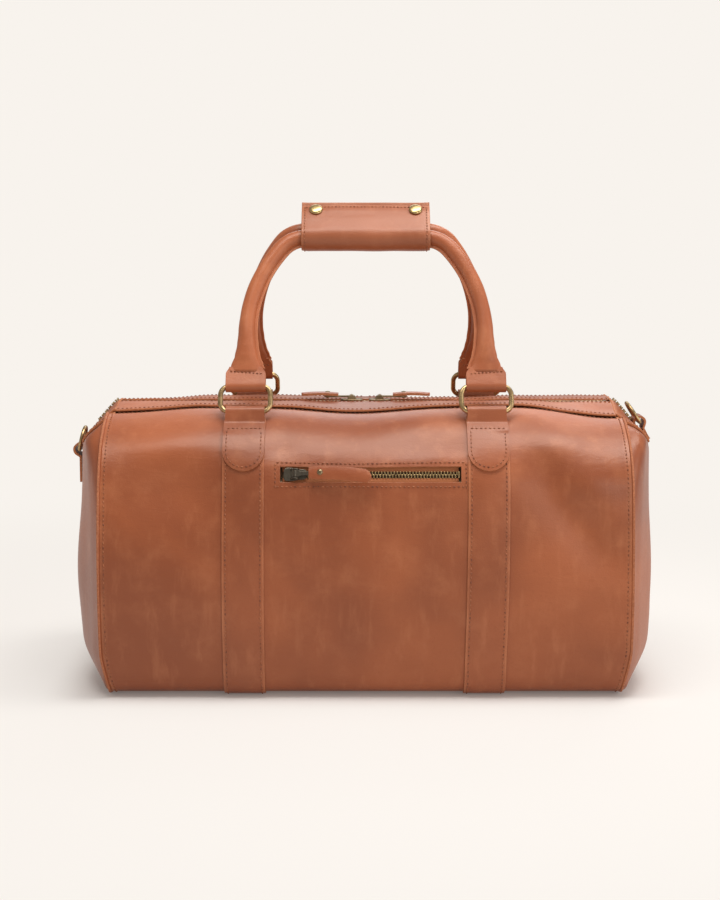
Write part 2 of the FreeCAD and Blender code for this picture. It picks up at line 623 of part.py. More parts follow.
tape_top = size("strip_top") - LEATHER - 0.3
main_frame = FreeCAD.Placement(Vector(0, 0, tape_top), FreeCAD.Rotation())
zip_rows("main_zip", main_frame, 434, 18)
for side, turn in (("left", 180), ("right", 0)):
    spin = FreeCAD.Placement(Vector(0, 0, 0), FreeCAD.Rotation(Vector(0, 0, 1), turn))
    home = FreeCAD.Placement(Vector(size("slider_home"), 0, tape_top), FreeCAD.Rotation())
    slider("main_slider_" + side, spin.multiply(home))
    hinge = FreeCAD.Placement(Vector(size("slider_home"), 0, tape_top + pin_height),
                              FreeCAD.Rotation())
    puller("main_" + side, spin.multiply(hinge), size("main_pull"))
stops = [block("main_stop_" + str(index), "3", "6", "3", (x, -3, tape_top - 1.5))
         for index, x in enumerate((218, -221))]
keep(fuse("main_zip_stops", *stops), "main_zip_stops")

# The pocket zip lies behind its window. Its pull rests a few degrees off the leather.
PULL_LIFT = 6.0
pocket_length = size("pocket_right") - size("pocket_left") - 4
pocket_tapes = pocket_frame.multiply(FreeCAD.Placement(
    Vector(0, 0, -LEATHER - 0.9), FreeCAD.Rotation()))
zip_rows("pocket_zip", pocket_tapes, pocket_length, 10)
slider_start = -pocket_length / 2 + size("slider_length") / 2 + 1
at_slider = pocket_tapes.multiply(FreeCAD.Placement(Vector(slider_start, 0, 0),
                                                    FreeCAD.Rotation()))
slider("pocket_slider", at_slider)
puller("pocket", at_slider.multiply(FreeCAD.Placement(
    Vector(0, 0, pin_height), FreeCAD.Rotation(Vector(0, 1, 0), -PULL_LIFT))),
    size("pocket_pull"))

# ---------------------------------------------------------------- end tabs and D-rings
# A leather tab is folded round the straight bar of each D-ring. The left one is sewn to
# the face of its gusset and the right one to the slope of its end piece.
dee_path = rounded_path(size("dee_width"), size("dee_height"), 3.0, size("dee_width") / 2)
dee_loop = size("dee_wire") / 2 + 0.5
left_x = -(HALF_PANEL + size("end_bulge")) - LEATHER - GAP - dee_loop
right_bar = (slope_start + slope_along * size("right_dee_run")
             + slope_normal * (GAP + dee_loop + LEATHER))
dee_places = {
    "left": FreeCAD.Placement(Vector(left_x, 0, size("left_dee_height")),
                              FreeCAD.Rotation(Vector(1, 0, -1), 180)),
    "right": FreeCAD.Placement(right_bar, FreeCAD.Rotation(Vector(0, 1, 0), slope)),
}
DEE_TILT = {"left": 12.0, "right": 10.0 + slope - 90}
TAB_RUN = {"left": 30.0, "right": 17.5}
for side, at_bar in dee_places.items():
    prefix = "side_tab_" + side
    tube = rod(prefix + "_tube", f"{2 * (dee_loop + LEATHER)}", "Sizes.tab_width",
               (0, size("tab_width") / 2, 0), Vector(1, 0, 0), 90)
    plate_z = -dee_loop - LEATHER
    plate = block(prefix + "_plate", str(TAB_RUN[side]), "Sizes.tab_width", "Sizes.leather",
                  (0, -size("tab_width") / 2, plate_z))
    bore = rod(prefix + "_bore", f"{2 * dee_loop}", "Sizes.tab_width + 4",
               (0, size("tab_width") / 2 + 2, 0), Vector(1, 0, 0), 90)
    tab = keep(cut(prefix, fuse(prefix + "_solid", tube, plate), bore), prefix)
    tab.Placement = at_bar
    tilt = FreeCAD.Rotation(Vector(0, 1, 0), DEE_TILT[side])
    wire_ring("side_dee_" + side, dee_path, size("dee_wire"), at_bar.Base,
              tilt.multiply(FreeCAD.Rotation(Vector(0, 0, 1), 90)))

# ---------------------------------------------------------------- check and export
doc.recompute()
faulty = [item.Name for item in doc.Objects if {"Invalid", "Error"} & set(item.State)]
faulty += [part.Label for part in pieces if part.Shape.isNull() or not part.Shape.isValid()]
if faulty:
    raise RuntimeError("failed: " + ", ".join(faulty))
os.makedirs("parts", exist_ok=True)
for part in pieces:
    part.Shape.exportStep(f"parts/{part.Label}.step")
print(len(pieces), "parts")
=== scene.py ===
import math

import bmesh
import bpy
from mathutils import Matrix, Vector, noise


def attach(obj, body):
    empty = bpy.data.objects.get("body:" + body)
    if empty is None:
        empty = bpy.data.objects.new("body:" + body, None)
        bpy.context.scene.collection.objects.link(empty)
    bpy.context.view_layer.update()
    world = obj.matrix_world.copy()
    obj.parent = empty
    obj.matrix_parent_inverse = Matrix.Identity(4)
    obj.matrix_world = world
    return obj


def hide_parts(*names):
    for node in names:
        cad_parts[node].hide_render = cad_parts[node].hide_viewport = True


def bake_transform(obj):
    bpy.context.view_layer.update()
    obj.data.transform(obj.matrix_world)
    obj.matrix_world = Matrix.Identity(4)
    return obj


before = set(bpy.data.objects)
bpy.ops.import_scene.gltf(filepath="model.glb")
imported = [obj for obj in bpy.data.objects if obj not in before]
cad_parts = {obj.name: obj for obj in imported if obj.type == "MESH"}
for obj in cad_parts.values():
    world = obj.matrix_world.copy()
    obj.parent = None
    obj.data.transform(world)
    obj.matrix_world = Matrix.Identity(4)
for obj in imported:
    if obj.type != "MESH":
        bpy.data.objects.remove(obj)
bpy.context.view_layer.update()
scene = bpy.context.scene

# ---------------------------------------------------------------- studio
# A pale floor that fades into a backdrop of the same tone. One wide soft light hangs above
# the front, with weaker ones at both sides and behind, so the leather keeps a broad sheen.
def srgb(red, green, blue):
    """A display colour, 0 to 255, as the linear colour that the nodes take."""
    return tuple(((c / 255 + 0.055) / 1.055) ** 2.4 if c > 10 else c / 3294.6
                 for c in (red, green, blue)) + (1.0,)


class Value:
    """A node's output that can be used in sums: each sum adds its Math node."""

    def __init__(self, finish, socket):
        self.finish, self.socket = finish, socket

    def math(self, operation, *others):
        return self.finish.add("ShaderNodeMath", {"operation": operation},
                               dict(enumerate((self, *others))))

    def __add__(self, other):
        return self.math("ADD", other)

    def __sub__(self, other):
        return self.math("SUBTRACT", other)

    def __mul__(self, other):
        return self.math("MULTIPLY", other)

    def __rsub__(self, other):
        return self * -1 + other

    __radd__ = __add__
    __rmul__ = __mul__

    def between(self, low, high):
        """0 below low, 1 above high and smooth in between."""
        return self.finish.add("ShaderNodeMapRange", {"interpolation_type": "SMOOTHSTEP"},
                               {"Value": self, "From Min": low, "From Max": high})


class Finish:
    """A material, or the backdrop's light, and its nodes."""

    def __init__(self, name, owner=None):
        self.material = owner or bpy.data.materials.new(name)
        self.material.use_nodes = True
        self.tree = self.material.node_tree
        self.tree.nodes.clear()

    def add(self, kind, settings=None, sockets=None, output=0):
        node = self.tree.nodes.new(kind)
        for key, value in (settings or {}).items():
            setattr(node, key, value)
        for key, value in (sockets or {}).items():
            if isinstance(value, Value):
                self.tree.links.new(value.socket, node.inputs[key])
            else:
                node.inputs[key].default_value = value
        return Value(self, node.outputs[output]) if node.outputs else None

    def mix(self, factor, first, second):
        """From the first colour to the second."""
        return self.add("ShaderNodeMix", {"data_type": "RGBA"},
                        {0: factor, 6: first, 7: second}, 2)

    def place(self):
        return self.add("ShaderNodeTexCoord", output="Object")

    def cloud(self, spot, scale, detail=2.0, rough=0.5, twist=0.0):
        return self.add("ShaderNodeTexNoise", None, {
            "Vector": spot, "Scale": scale, "Detail": detail, "Roughness": rough,
            "Distortion": twist})

    def ribs(self, spot, scale, waver, bands="X"):
        return self.add("ShaderNodeTexWave", {"bands_direction": bands},
                        {"Vector": spot, "Scale": scale, "Distortion": waver}, 1)

    def surface(self, colour, rough, relief, strength, depth, fixed=None):
        """Ends the finish: its colour, its roughness and its relief, depth in metres."""
        bump = self.add("ShaderNodeBump", None, {"Height": relief, "Strength": strength,
                                                 "Distance": depth})
        shader = self.add("ShaderNodeBsdfPrincipled", None, {
            "Base Color": colour, "Roughness": rough, "Normal": bump, **(fixed or {})})
        self.add("ShaderNodeOutputMaterial", None, {"Surface": shader})
        return self.material


BACKDROP = srgb(248, 243, 237)
scene.view_settings.view_transform = "Standard"
world = bpy.data.worlds.new("studio_air")
scene.world = world
air = Finish("studio_air", world)
seen = air.add("ShaderNodeLightPath", output="Is Camera Ray")
air.add("ShaderNodeOutputWorld", None, {"Surface": air.add(
    "ShaderNodeBackground", None, {"Color": BACKDROP, "Strength": seen * 0.62 + 0.38})})

floor_finish = Finish("studio_floor")
spot = floor_finish.add("ShaderNodeTexCoord", output="Object")
far = floor_finish.add("ShaderNodeVectorMath", {"operation": "LENGTH"}, {0: spot}, 1)
lit = floor_finish.add("ShaderNodeBsdfDiffuse", None, {"Color": srgb(228, 224, 220)})
glow = floor_finish.add("ShaderNodeEmission", None, {"Color": BACKDROP})
sideways, depth = (floor_finish.add("ShaderNodeSeparateXYZ", None, {0: spot}, axis).math(
    "ABSOLUTE") for axis in (0, 1))
# Painted contact shadow: the floor glows less round the base, so it turns dark there, partly from
# the real shadow under the bag and partly from the missing glow.
under = (1 - sideways.between(0.235, 0.290)) * (1 - depth.between(0.112, 0.155))
floor_finish.add("ShaderNodeOutputMaterial", None, {"Surface": floor_finish.add(
    "ShaderNodeMixShader", None, {
        0: (far.between(0.28, 1.1) * 0.42 + 0.58) * (1 - under * 0.8), 1: lit, 2: glow})})
bpy.ops.mesh.primitive_circle_add(vertices=96, radius=12.0, fill_type="NGON")
floor = bpy.context.object
floor.name = "studio_floor"
floor.data.materials.append(floor_finish.material)


def soft_light(name, position, target, width, height, power, colour=(1.0, 1.0, 1.0)):
    lamp = bpy.data.lights.new(name, "AREA")
    lamp.shape, lamp.size, lamp.size_y = "RECTANGLE", width, height
    lamp.energy, lamp.color = power, colour
    holder = bpy.data.objects.new(name, lamp)
    holder.location = position
    aim = Vector(target) - Vector(position)
    holder.rotation_euler = aim.to_track_quat("-Z", "Y").to_euler()
    holder.visible_camera = False
    scene.collection.objects.link(holder)


soft_light("overhead", (0.15, -0.22, 1.45), (0, 0, 0.2), 1.5, 0.55, 21.0, (1.0, 0.985, 0.97))
soft_light("front_fill", (1.25, -2.0, 0.8), (0.05, 0, 0.15), 0.9, 1.0, 10.5, (1.0, 0.985, 0.965))
soft_light("left_side", (-1.7, -0.3, 0.6), (0, 0, 0.15), 0.7, 1.3, 1.6)
soft_light("right_side", (1.7, -0.5, 0.7), (0, 0, 0.15), 0.7, 1.3, 7.0)
soft_light("behind", (0.3, 1.5, 1.3), (0, 0, 0.25), 1.6, 0.7, 9.0)

lens = bpy.data.cameras.new("camera")
lens.lens, lens.sensor_width = 70.0, 36.0
camera = bpy.data.objects.new("camera", lens)
camera.location = (-0.0052, -1.6, 0.4193)
camera.rotation_euler = (math.radians(82.31), 0, 0)
scene.collection.objects.link(camera)
scene.camera = camera

# ---------------------------------------------------------------- leather shell
# Front, rear and base are cut from 2 mm pull-up leather in one tan and sewn round the bag.
# The shell slumps softly between its seams, and every piece on it follows the same slump.
LEATHER = 0.002
HALF_PANEL = 0.230
FLAT = 0.0956                       # half the flat of the base
SEAM = 0.3950                       # from the middle of the base round to the mouth seam
SEAM_SINK = 0.0011                  # how far the panels dip under the mouth strips
BENDS = ((-0.0956, 0.024, 0.022, 270.0, 190.3),
         (0.296, 0.095, 0.420, 190.3, 167.6),
         (-0.0361, 0.1679, 0.080, 167.6, 94.2))


def ease(value, low, high):
    step = min(max((value - low) / (high - low), 0.0), 1.0)
    return step * step * (3 - 2 * step)


def hump(value, middle, width):
    return math.exp(-((value - middle) / width) ** 2)


def outline(run):
    """Point and outward direction (y, z) of the front half of the section."""
    if run <= FLAT:
        return (-run, LEATHER), (0.0, -1.0)
    run -= FLAT
    for centre_y, centre_z, radius, first, last in BENDS:
        length = math.radians(first - last) * radius
        if run <= length or last == BENDS[-1][4]:
            turn = math.radians(first) - run / radius
            across, up = math.cos(turn), math.sin(turn)
            return (centre_y + radius * across, centre_z + radius * up), (across, up)
        run -= length


def settle(point):
    """Where a point of the new, tight shell goes once the bag has been used and slumps."""
    x, y, z = point
    top = ease(z, 0.185, 0.245)
    drop = 0.0042 * hump(x, -0.005, 0.055) * ease(-y, 0.002, 0.035)
    drop += 0.0020 * hump(x, 0.03, 0.07) * ease(y, 0.002, 0.035)
    off_zip = ease(abs(y), 0.005, 0.036)
    drop += 0.0045 * ease(-x, 0.14, 0.222) * (1 - ease(-x, 0.232, 0.255)) * off_zip
    drop += 0.0090 * ease(x, 0.135, 0.218) * (1 - ease(x, 0.228, 0.250)) * ease(
        -y, 0.002, 0.036)
    drop += 0.0012 * noise.noise(Vector((x * 14, y * 9, 2.0))) * off_zip * (
        1 - ease(abs(x), 0.19, 0.225))
    z_move = -drop * top
    face = ease(z, 0.015, 0.06) * (1 - ease(z, 0.232, 0.247))
    full = 0.0032 * hump(z, 0.085, 0.06) * (1 - (x / 0.33) ** 2)
    if y < 0:
        full += 0.0038 * hump(z, 0.224, 0.015) * (hump(x, -0.172, 0.045) + hump(x, 0.160, 0.03))
        full -= 0.0052 * hump(z, 0.184, 0.026) * hump(x, -0.160, 0.045)
        full -= 0.0030 * hump(z, 0.222, 0.012) * hump(x, 0.045, 0.030)
        full -= 0.0022 * hump(z, 0.218, 0.012) * (hump(x, -0.074, 0.014) + hump(x, 0.080, 0.012))
        full += 0.0044 * hump(z, 0.190, 0.030) * hump(x, 0.190, 0.028)
        valley = ((x - 0.150) * 0.84 + (z - 0.205) * 0.54) / 0.020
        full -= 0.0046 * math.exp(-valley ** 2) * ease(z, 0.09, 0.16)
        full += 0.0022 * noise.noise(Vector((x * 9, z * 12, 3.1)))
        full *= 1 - 0.9 * (ease(x, -0.095, -0.078) * (1 - ease(x, 0.086, 0.104))
                           * ease(z, 0.176, 0.186) * (1 - ease(z, 0.206, 0.216)))
    else:
        full += 0.0028 * hump(z, 0.215, 0.02) * (hump(x, 0.17, 0.05) + hump(x, -0.165, 0.04))
        full -= 0.0030 * hump(z, 0.180, 0.03) * hump(x, 0.02, 0.06)
        full += 0.0028 * noise.noise(Vector((x * 8, z * 11, 8.7)))
    y_move = full * face * min(1.0, abs(y) / 0.06) * (-1 if y < 0 else 1)
    end = ease(abs(x), 0.232, 0.250)
    puff = 0.0
    if x < 0:
        puff = 0.0052 * (hump(y, -0.052, 0.03) + hump(y, 0.055, 0.03)) * hump(z, 0.105, 0.065)
        puff -= 0.0050 * hump(y, -0.006, 0.007) * ease(z, 0.02, 0.05) * (1 - ease(z, 0.15, 0.172))
    else:
        puff = 0.0030 * (hump(y, -0.050, 0.03) + hump(y, 0.050, 0.03)) * hump(z, 0.100, 0.07)
        puff -= 0.0035 * hump(y, -0.030 + (z - 0.15) * 0.25, 0.008) * ease(z, 0.06, 0.12)
    puff += 0.0016 * noise.noise(Vector((y * 14, z * 12, 5.5)))
    tuck = 0.0065 * ease(abs(x), 0.195, 0.232) * (1 - ease(z, 0.0, 0.045))
    x_move = (puff * end * ease(z, 0.010, 0.04) - tuck) * (-1 if x < 0 else 1)
    return Vector((x + x_move, y + y_move, z + z_move))


def skin(x, run, lift=0.0):
    """A point on the slumped shell: run is from the middle of the base, the front negative."""
    (y, z), (across, up) = outline(abs(run))
    side = 1 if run < 0 else -1
    lift -= SEAM_SINK * ease(abs(run), SEAM - 0.006, SEAM)
    return settle((x, side * (y + across * lift), z + up * lift))


def spaced(first, last, step, *exact):
    """Even steps from first to last, with these exact values among them."""
    marks = [first] + sorted(exact) + [last]
    values = [first]
    for low, high in zip(marks, marks[1:]):
        count = max(1, round((high - low) / step))
        values += [low + (high - low) * (k + 1) / count for k in range(count)]
    return values


def leather(name, tan, deep, pale, sheen=0.0):
    """Pull-up leather: cloudy tan, fine pores, faint creases, worn edges that have lightened,
    painted shade that darkens it towards the floor and a painted highlight along the handle tops.
    """
    finish = Finish(name)
    spot = finish.place()

    def stretched(scale):
        return finish.add("ShaderNodeMapping", None, {"Vector": spot, "Scale": (1.0, 1.0, scale)})

    broad = finish.cloud(spot, 5.5, 3, 0.55, 0.4)
    mottle, fleck = finish.cloud(spot, 34, 5, 0.6), finish.cloud(spot, 420, 3, 0.6)
    crease = finish.cloud(stretched(3.2), 46, 6, 0.62, 0.4)
    brushed = finish.cloud(stretched(0.22), 95, 4, 0.6)
    pores = finish.add("ShaderNodeTexVoronoi", {"feature": "SMOOTH_F1"},
                       {"Vector": spot, "Scale": 950.0, "Smoothness": 0.7})
    rim = finish.add("ShaderNodeAttribute", {"attribute_name": "rim"}, output="Fac")
    height = finish.add("ShaderNodeSeparateXYZ", None, {0: spot}, 2)
    colour = finish.mix(broad.between(0.36, 0.68), deep, tan)
    colour = finish.mix(mottle.between(0.45, 0.85) * 0.30 + broad.between(0.6, 0.8) * 0.2,
                        colour, pale)
    # Painted shade: the leather turns darker towards the floor, below 0.17 m, by height alone.
    colour = finish.mix((1 - height.between(0.0, 0.17)) * 0.42, colour, deep)
    colour = finish.mix(fleck.between(0.52, 0.72) * 0.22, colour, deep)
    colour = finish.mix(brushed.between(0.50, 0.78) * 0.20, colour, pale)
    # Lighter where the rim attribute is set: real wear on the cut edges, and a painted highlight
    # along the top of each handle roll.
    colour = finish.mix(rim * (mottle.between(0.3, 0.6) * 0.35 + 0.15), colour, pale)
    relief = (pores * 0.35 + finish.cloud(spot, 1500) * 0.22 + fleck * 0.35
              + crease.between(0.35, 0.62) * 0.5)
    rough = 0.34 + (broad.between(0.3, 0.7) * 0.08) + (fleck * 0.10) - (rim * 0.05)
    return finish.surface(colour, rough, relief, 0.32, 0.0005, {
        "Specular IOR Level": 0.50, "Specular Tint": (1.0, 0.86, 0.74, 1.0),
        "Coat Weight": 0.07 + sheen, "Coat Roughness": 0.30})


def raw_edge(name, light, dark):
    """The cut edge of a hide: paler, matt and fibrous."""
    finish = Finish(name)
    spot = finish.place()
    fibre = finish.cloud(spot, 700.0, 4.0)
    tone = fibre.between(0.35, 0.7) * 0.6 + finish.cloud(spot, 60.0) * 0.4
    return finish.surface(finish.mix(tone, dark, light), 0.78, fibre, 0.5, 0.0003)


TAN, DEEP, PALE = srgb(166, 90, 52), srgb(134, 68, 38), srgb(196, 124, 84)
shell_leather = leather("shell_leather", TAN, DEEP, PALE)
cut_edge = raw_edge("cut_edge", srgb(190, 122, 78), srgb(152, 88, 52))
seam_edge = raw_edge("seam_edge", srgb(182, 112, 74), srgb(142, 80, 48))
BODY = "bag"


def fit(piece, finishes, body, nodes):
    """Gives a piece its finishes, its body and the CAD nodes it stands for."""
    for material in finishes:
        piece.data.materials.append(material)
    for polygon in piece.data.polygons:
        polygon.use_smooth = True
    if piece.name not in scene.collection.objects:
        scene.collection.objects.link(piece)
    if body:
        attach(piece, body)
    if nodes:
        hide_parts(*nodes)
    return piece


def soften(piece, width, segments=2, angle=50.0):
    """Rounds the sharp edges of a piece."""
    rounding = piece.modifiers.new("rounded_edges", "BEVEL")
    rounding.width, rounding.segments = width, segments
    rounding.limit_method, rounding.angle_limit = "ANGLE", math.radians(angle)
    rounding.harden_normals = True


def made_of(name, work, even_normals=True):
    """The new piece that a finished mesh makes."""
    if even_normals:
        bmesh.ops.recalc_face_normals(work, faces=work.faces)
    mesh = bpy.data.meshes.new(name)
    work.to_mesh(mesh)
    work.free()
    return bpy.data.objects.new(name, mesh)


def slab(name, across, along, place, body=BODY, nodes=(), finishes=None,
         thickness=LEATHER, keep=None, worn=0.006, rounding=0.0004, joined=False):
    """A sheet with a face, a back and a cut edge. place(a, b, lift) gives its points."""
    work = bmesh.new()
    rim_layer = work.verts.layers.float.new("rim")
    grid = {}
    for level, lift in enumerate((0.0, -thickness)):
        for i, b in enumerate(along):
            for j, a in enumerate(across):
                vertex = work.verts.new(place(a, b, lift))
                edge = min(a - across[0], across[-1] - a, b - along[0], along[-1] - b)
                vertex[rim_layer] = 1 - ease(edge, 0.0, worn) if worn else 0.0
                grid[level, i, j] = vertex
    rows, columns = len(along), len(across)
    cells = {(i, j) for i in range(rows - 1) for j in range(columns - 1)
             if keep is None or keep((across[j] + across[j + 1]) / 2,
                                     (along[i] + along[i + 1]) / 2)}
    for i, j in cells:
        corners = ((i, j), (i, j + 1), (i + 1, j + 1), (i + 1, j))
        work.faces.new([grid[0, p, q] for p, q in corners])
        work.faces.new([grid[1, p, q] for p, q in reversed(corners)])
        beside = ((i - 1, j), (i, j + 1), (i + 1, j), (i, j - 1))
        for k, other in enumerate(beside):
            if other not in cells and not (joined and other[0] == -1):
                (p, q), (r, s) = corners[k], corners[(k + 1) % 4]
                edge = work.faces.new([grid[0, r, s], grid[0, p, q], grid[1, p, q],
                                       grid[1, r, s]])
                edge.material_index = 1
    bmesh.ops.delete(work, geom=[v for v in work.verts if not v.link_faces], context="VERTS")
    piece = made_of(name, work)
    if rounding:
        soften(piece, rounding)
    return fit(piece, finishes or (shell_leather, cut_edge), body, nodes)


# The pocket's window is cut in the front, across the slope where the shoulder begins.
WINDOW = (-0.074, 0.082)
pocket_centre = Vector((0.004, -0.1106, 0.1971))


def run_of(y, z):
    """How far round the section a point of the front shoulder lies."""
    turn = math.degrees(math.atan2(z - BENDS[2][1], y - BENDS[2][0]))
    before = FLAT + sum(math.radians(b[3] - b[4]) * b[2] for b in BENDS[:2])
    return -(before + math.radians(BENDS[2][3] - turn) * BENDS[2][2])


POCKET_RUN = run_of(pocket_centre.y, pocket_centre.z)
WINDOW_RUNS = (POCKET_RUN - 0.007, POCKET_RUN + 0.007)


def in_window(x, run):
    return WINDOW[0] < x < WINDOW[1] and WINDOW_RUNS[0] < run < WINDOW_RUNS[1]


front_steps = spaced(-SEAM, -FLAT, 0.0035, *WINDOW_RUNS)
slab("front_shell", spaced(-HALF_PANEL, HALF_PANEL, 0.0036, *WINDOW), front_steps, skin,
     nodes=["front_panel"], keep=lambda x, run: not in_window(x, run), worn=0.007)
slab("rear_shell", spaced(-HALF_PANEL, HALF_PANEL, 0.0042), spaced(FLAT, SEAM, 0.0040), skin,
     nodes=["rear_panel"], worn=0.007)
slab("base_shell", spaced(-HALF_PANEL, HALF_PANEL, 0.010), spaced(-FLAT, FLAT, 0.008), skin,
     nodes=["base_panel"], worn=0.007)

# ---------------------------------------------------------------- end gussets
# Each end is one panel sewn in turned out, so a raised seam with a pale edge runs round it.
# The panel swells beyond the seam, tucks in at the floor and has a soft fold down its middle.
END_SLOPE = math.radians(47)
END_RUN = 0.388                     # how far round each end its raised seam goes
HALVES = (("left", -1), ("right", 1))


def half_depth(z):
    """Half the depth of the section at a height."""
    if z < 0.0201:
        return 0.0956 + math.sqrt(max(0.0, 0.022 ** 2 - (z - 0.024) ** 2))
    if z < 0.1852:
        return math.sqrt(0.420 ** 2 - (z - 0.095) ** 2) - 0.296
    return 0.0361 + math.sqrt(max(0.0, 0.080 ** 2 - (z - 0.1679) ** 2))


def end_reach(y, z):
    """How far out the face of an end stands, before it slumps."""
    swell = math.sqrt(max(0.0, 0.290 ** 2 - y ** 2)) - 0.262
    near = min((half_depth(z) - abs(y)) / 0.020, (z - LEATHER) / 0.034, 1.0)
    x = HALF_PANEL + max(swell, 0.0) * math.sqrt(max(1 - (1 - max(near, 0.0)) ** 2, 0.0))
    limit = 0.2265 + (0.2474 - z) / math.tan(END_SLOPE)
    soft = 0.0024
    return -soft * math.log(math.exp(-x / soft) + math.exp(-limit / soft))


def gusset_place(side):
    def place(a, b, lift):
        z = LEATHER + 0.2459 * (1 - math.cos(math.pi * b)) / 2
        y = a * half_depth(z)
        return settle((side * (end_reach(y, z) + lift), y, z))
    return place


for name, side in HALVES:
    slab(name + "_end", spaced(-1, 1, 0.035), spaced(0, 1, 0.018), gusset_place(side),
         nodes=[name + "_gusset"], worn=0.0)

    def seam_place(a, b, lift, side=side):
        flat = ease(abs(b), 0.075, 0.125)
        out = side * (0.0006 + lift + a * (0.45 + 1.0 * (1 - flat)))
        return skin(side * HALF_PANEL + out, b, a * (0.22 + 0.78 * flat))

    slab(name + "_end_seam", spaced(-0.0010, 0.0020 if side < 0 else 0.0012, 0.0008),
         spaced(-END_RUN, END_RUN, 0.0045), seam_place, finishes=(shell_leather, seam_edge),
         thickness=0.0022, worn=0.0, rounding=0.0007)

# ---------------------------------------------------------------- thread
# Thick waxed thread in a tan a little darker than the leather, sewn 3.9 mm apart.
# Each stitch is its own bead that dips into the leather at both ends.
thread_twist = Finish("thread")
spot = thread_twist.place()
thread = thread_twist.surface(
    thread_twist.mix(thread_twist.cloud(spot, 260.0).between(0.3, 0.7), srgb(112, 58, 34),
                     srgb(164, 98, 60)),
    0.6, thread_twist.ribs(spot, 900.0, 2.0), 0.4, 0.0002)
PITCH = 0.0039


def stitches(name, lines, body=BODY, pitch=PITCH, size=0.00050):
    """Beads along lines of points, each point with the direction out of the leather."""
    work = bmesh.new()
    for line in lines:
        travelled, due = 0.0, pitch / 2
        for (start, up), (end, _) in zip(line, line[1:]):
            step = end - start
            length = step.length
            while length and due <= travelled + length:
                middle = start + step * ((due - travelled) / length)
                ahead = step / length
                beside = ahead.cross(up).normalized()
                over = beside.cross(ahead)
                rings = []
                for t, thick, sink in ((-0.32, 0.4, -0.8), (-0.20, 1.0, 0.1), (0.0, 1.1, 0.4),
                                       (0.20, 1.0, 0.1), (0.32, 0.4, -0.8)):
                    centre = middle + ahead * (t * pitch) + over * (sink * size)
                    rings.append([work.verts.new(
                        centre + beside * (math.cos(turn) * size * thick)
                        + over * (math.sin(turn) * size * thick))
                        for turn in (math.pi * k / 3 for k in range(6))])
                for low, high in zip(rings, rings[1:]):
                    for k in range(6):
                        work.faces.new((low[k], low[(k + 1) % 6], high[(k + 1) % 6], high[k]))
                work.faces.new(rings[0][::-1])
                work.faces.new(rings[-1])
                due += pitch
            travelled += length
    return fit(made_of(name, work, False), (thread,), body, ())


def sewn_line(place, spots, lift=0.0001):
    """Points on a sheet with the directions out of it."""
    line = []
    for a, b in spots:
        point = place(a, b, lift)
        line.append((point, (place(a, b, lift + 0.001) - point).normalized()))
    return line


for name, side in HALVES:
    stitches(name + "_end_stitching", [sewn_line(
        skin, [(side * (HALF_PANEL - 0.0045), run) for run in spaced(first, last, 0.004)])
        for first, last in ((-END_RUN, -0.09), (0.09, END_RUN))])
stitches("mouth_stitching", [sewn_line(
    skin, [(x, side * (SEAM - 0.0042)) for x in spaced(-0.222, 0.222, 0.004)])
    for side in (-1, 1)])
box_x = (WINDOW[0] - 0.0042, WINDOW[1] + 0.0042)
box_run = (WINDOW_RUNS[0] - 0.0038, WINDOW_RUNS[1] + 0.0038)
stitches("pocket_stitching", [
    sewn_line(skin, [(x, run) for x in spaced(*box_x, 0.004)]) for run in box_run] + [
    sewn_line(skin, [(x, run) for run in spaced(*box_run, 0.003)]) for x in box_x])

# ---------------------------------------------------------------- straps
# Two 36 mm straps of the same hide are sewn flat round the bag, down both sides of the
# front ring, under the base and up to the rear ring. Their cut edges stay pale.
STRAP_X = 0.106
STRAP_HALF = 0.018
strap_leather = leather("strap_leather", srgb(164, 88, 51), srgb(130, 66, 37),
                        srgb(196, 124, 84), 0.03)
RING_TURN = 115.0
OFF_FLOOR = 0.101                   # where the strap leaves the floor and its sewing starts


def run_at(turn):
    """Run of the section at an angle of the shoulder bend, counted as positive."""
    before = FLAT + sum(math.radians(b[3] - b[4]) * b[2] for b in BENDS[:2])
    return before + math.radians(BENDS[2][3] - turn) * BENDS[2][2]


STRAP_TOP = run_at(RING_TURN)
for name, side in HALVES:
    def strap_place(a, b, lift, side=side):
        stray = 0.0025 * (1 - ease(abs(b), 0.10, 0.30)) if side > 0 and b < 0 else 0.0
        squeeze = 0.0012 * (1 - (a / STRAP_HALF) ** 2) * ease(abs(b), 0.09, 0.13)
        return skin(side * STRAP_X - stray + a, b, 0.0018 + squeeze * 0.3 + lift)

    slab(name + "_strap", spaced(-STRAP_HALF, STRAP_HALF, 0.0030),
         spaced(-STRAP_TOP, STRAP_TOP, 0.0042), strap_place, nodes=["strap_" + name],
         finishes=(strap_leather, cut_edge), thickness=0.0017,
         worn=0.0028)
    stitches(name + "_strap_stitching", [
        sewn_line(strap_place, [(a, b) for b in spaced(first, last, 0.004)], 0.0)
        for a in (-0.0150, 0.0150)
        for first, last in ((-STRAP_TOP + 0.002, -OFF_FLOOR), (OFF_FLOOR, STRAP_TOP - 0.002))])

# ---------------------------------------------------------------- rings
# Four oval rings of round wire in antique brass. Each hangs in its chape and holds a handle.
def metal(name, bright, dark, rough, patina=0.5):
    finish = Finish(name)
    spot = finish.place()
    stain, pits = finish.cloud(spot, 110.0, 5.0, 0.65), finish.cloud(spot, 1400.0, 3.0)
    return finish.surface(
        finish.mix(stain.between(0.42, 0.72) * patina, bright, dark),
        rough + stain.between(0.4, 0.7) * 0.22, pits + stain * 0.6, 0.16, 0.0002,
        {"Metallic": 1.0})


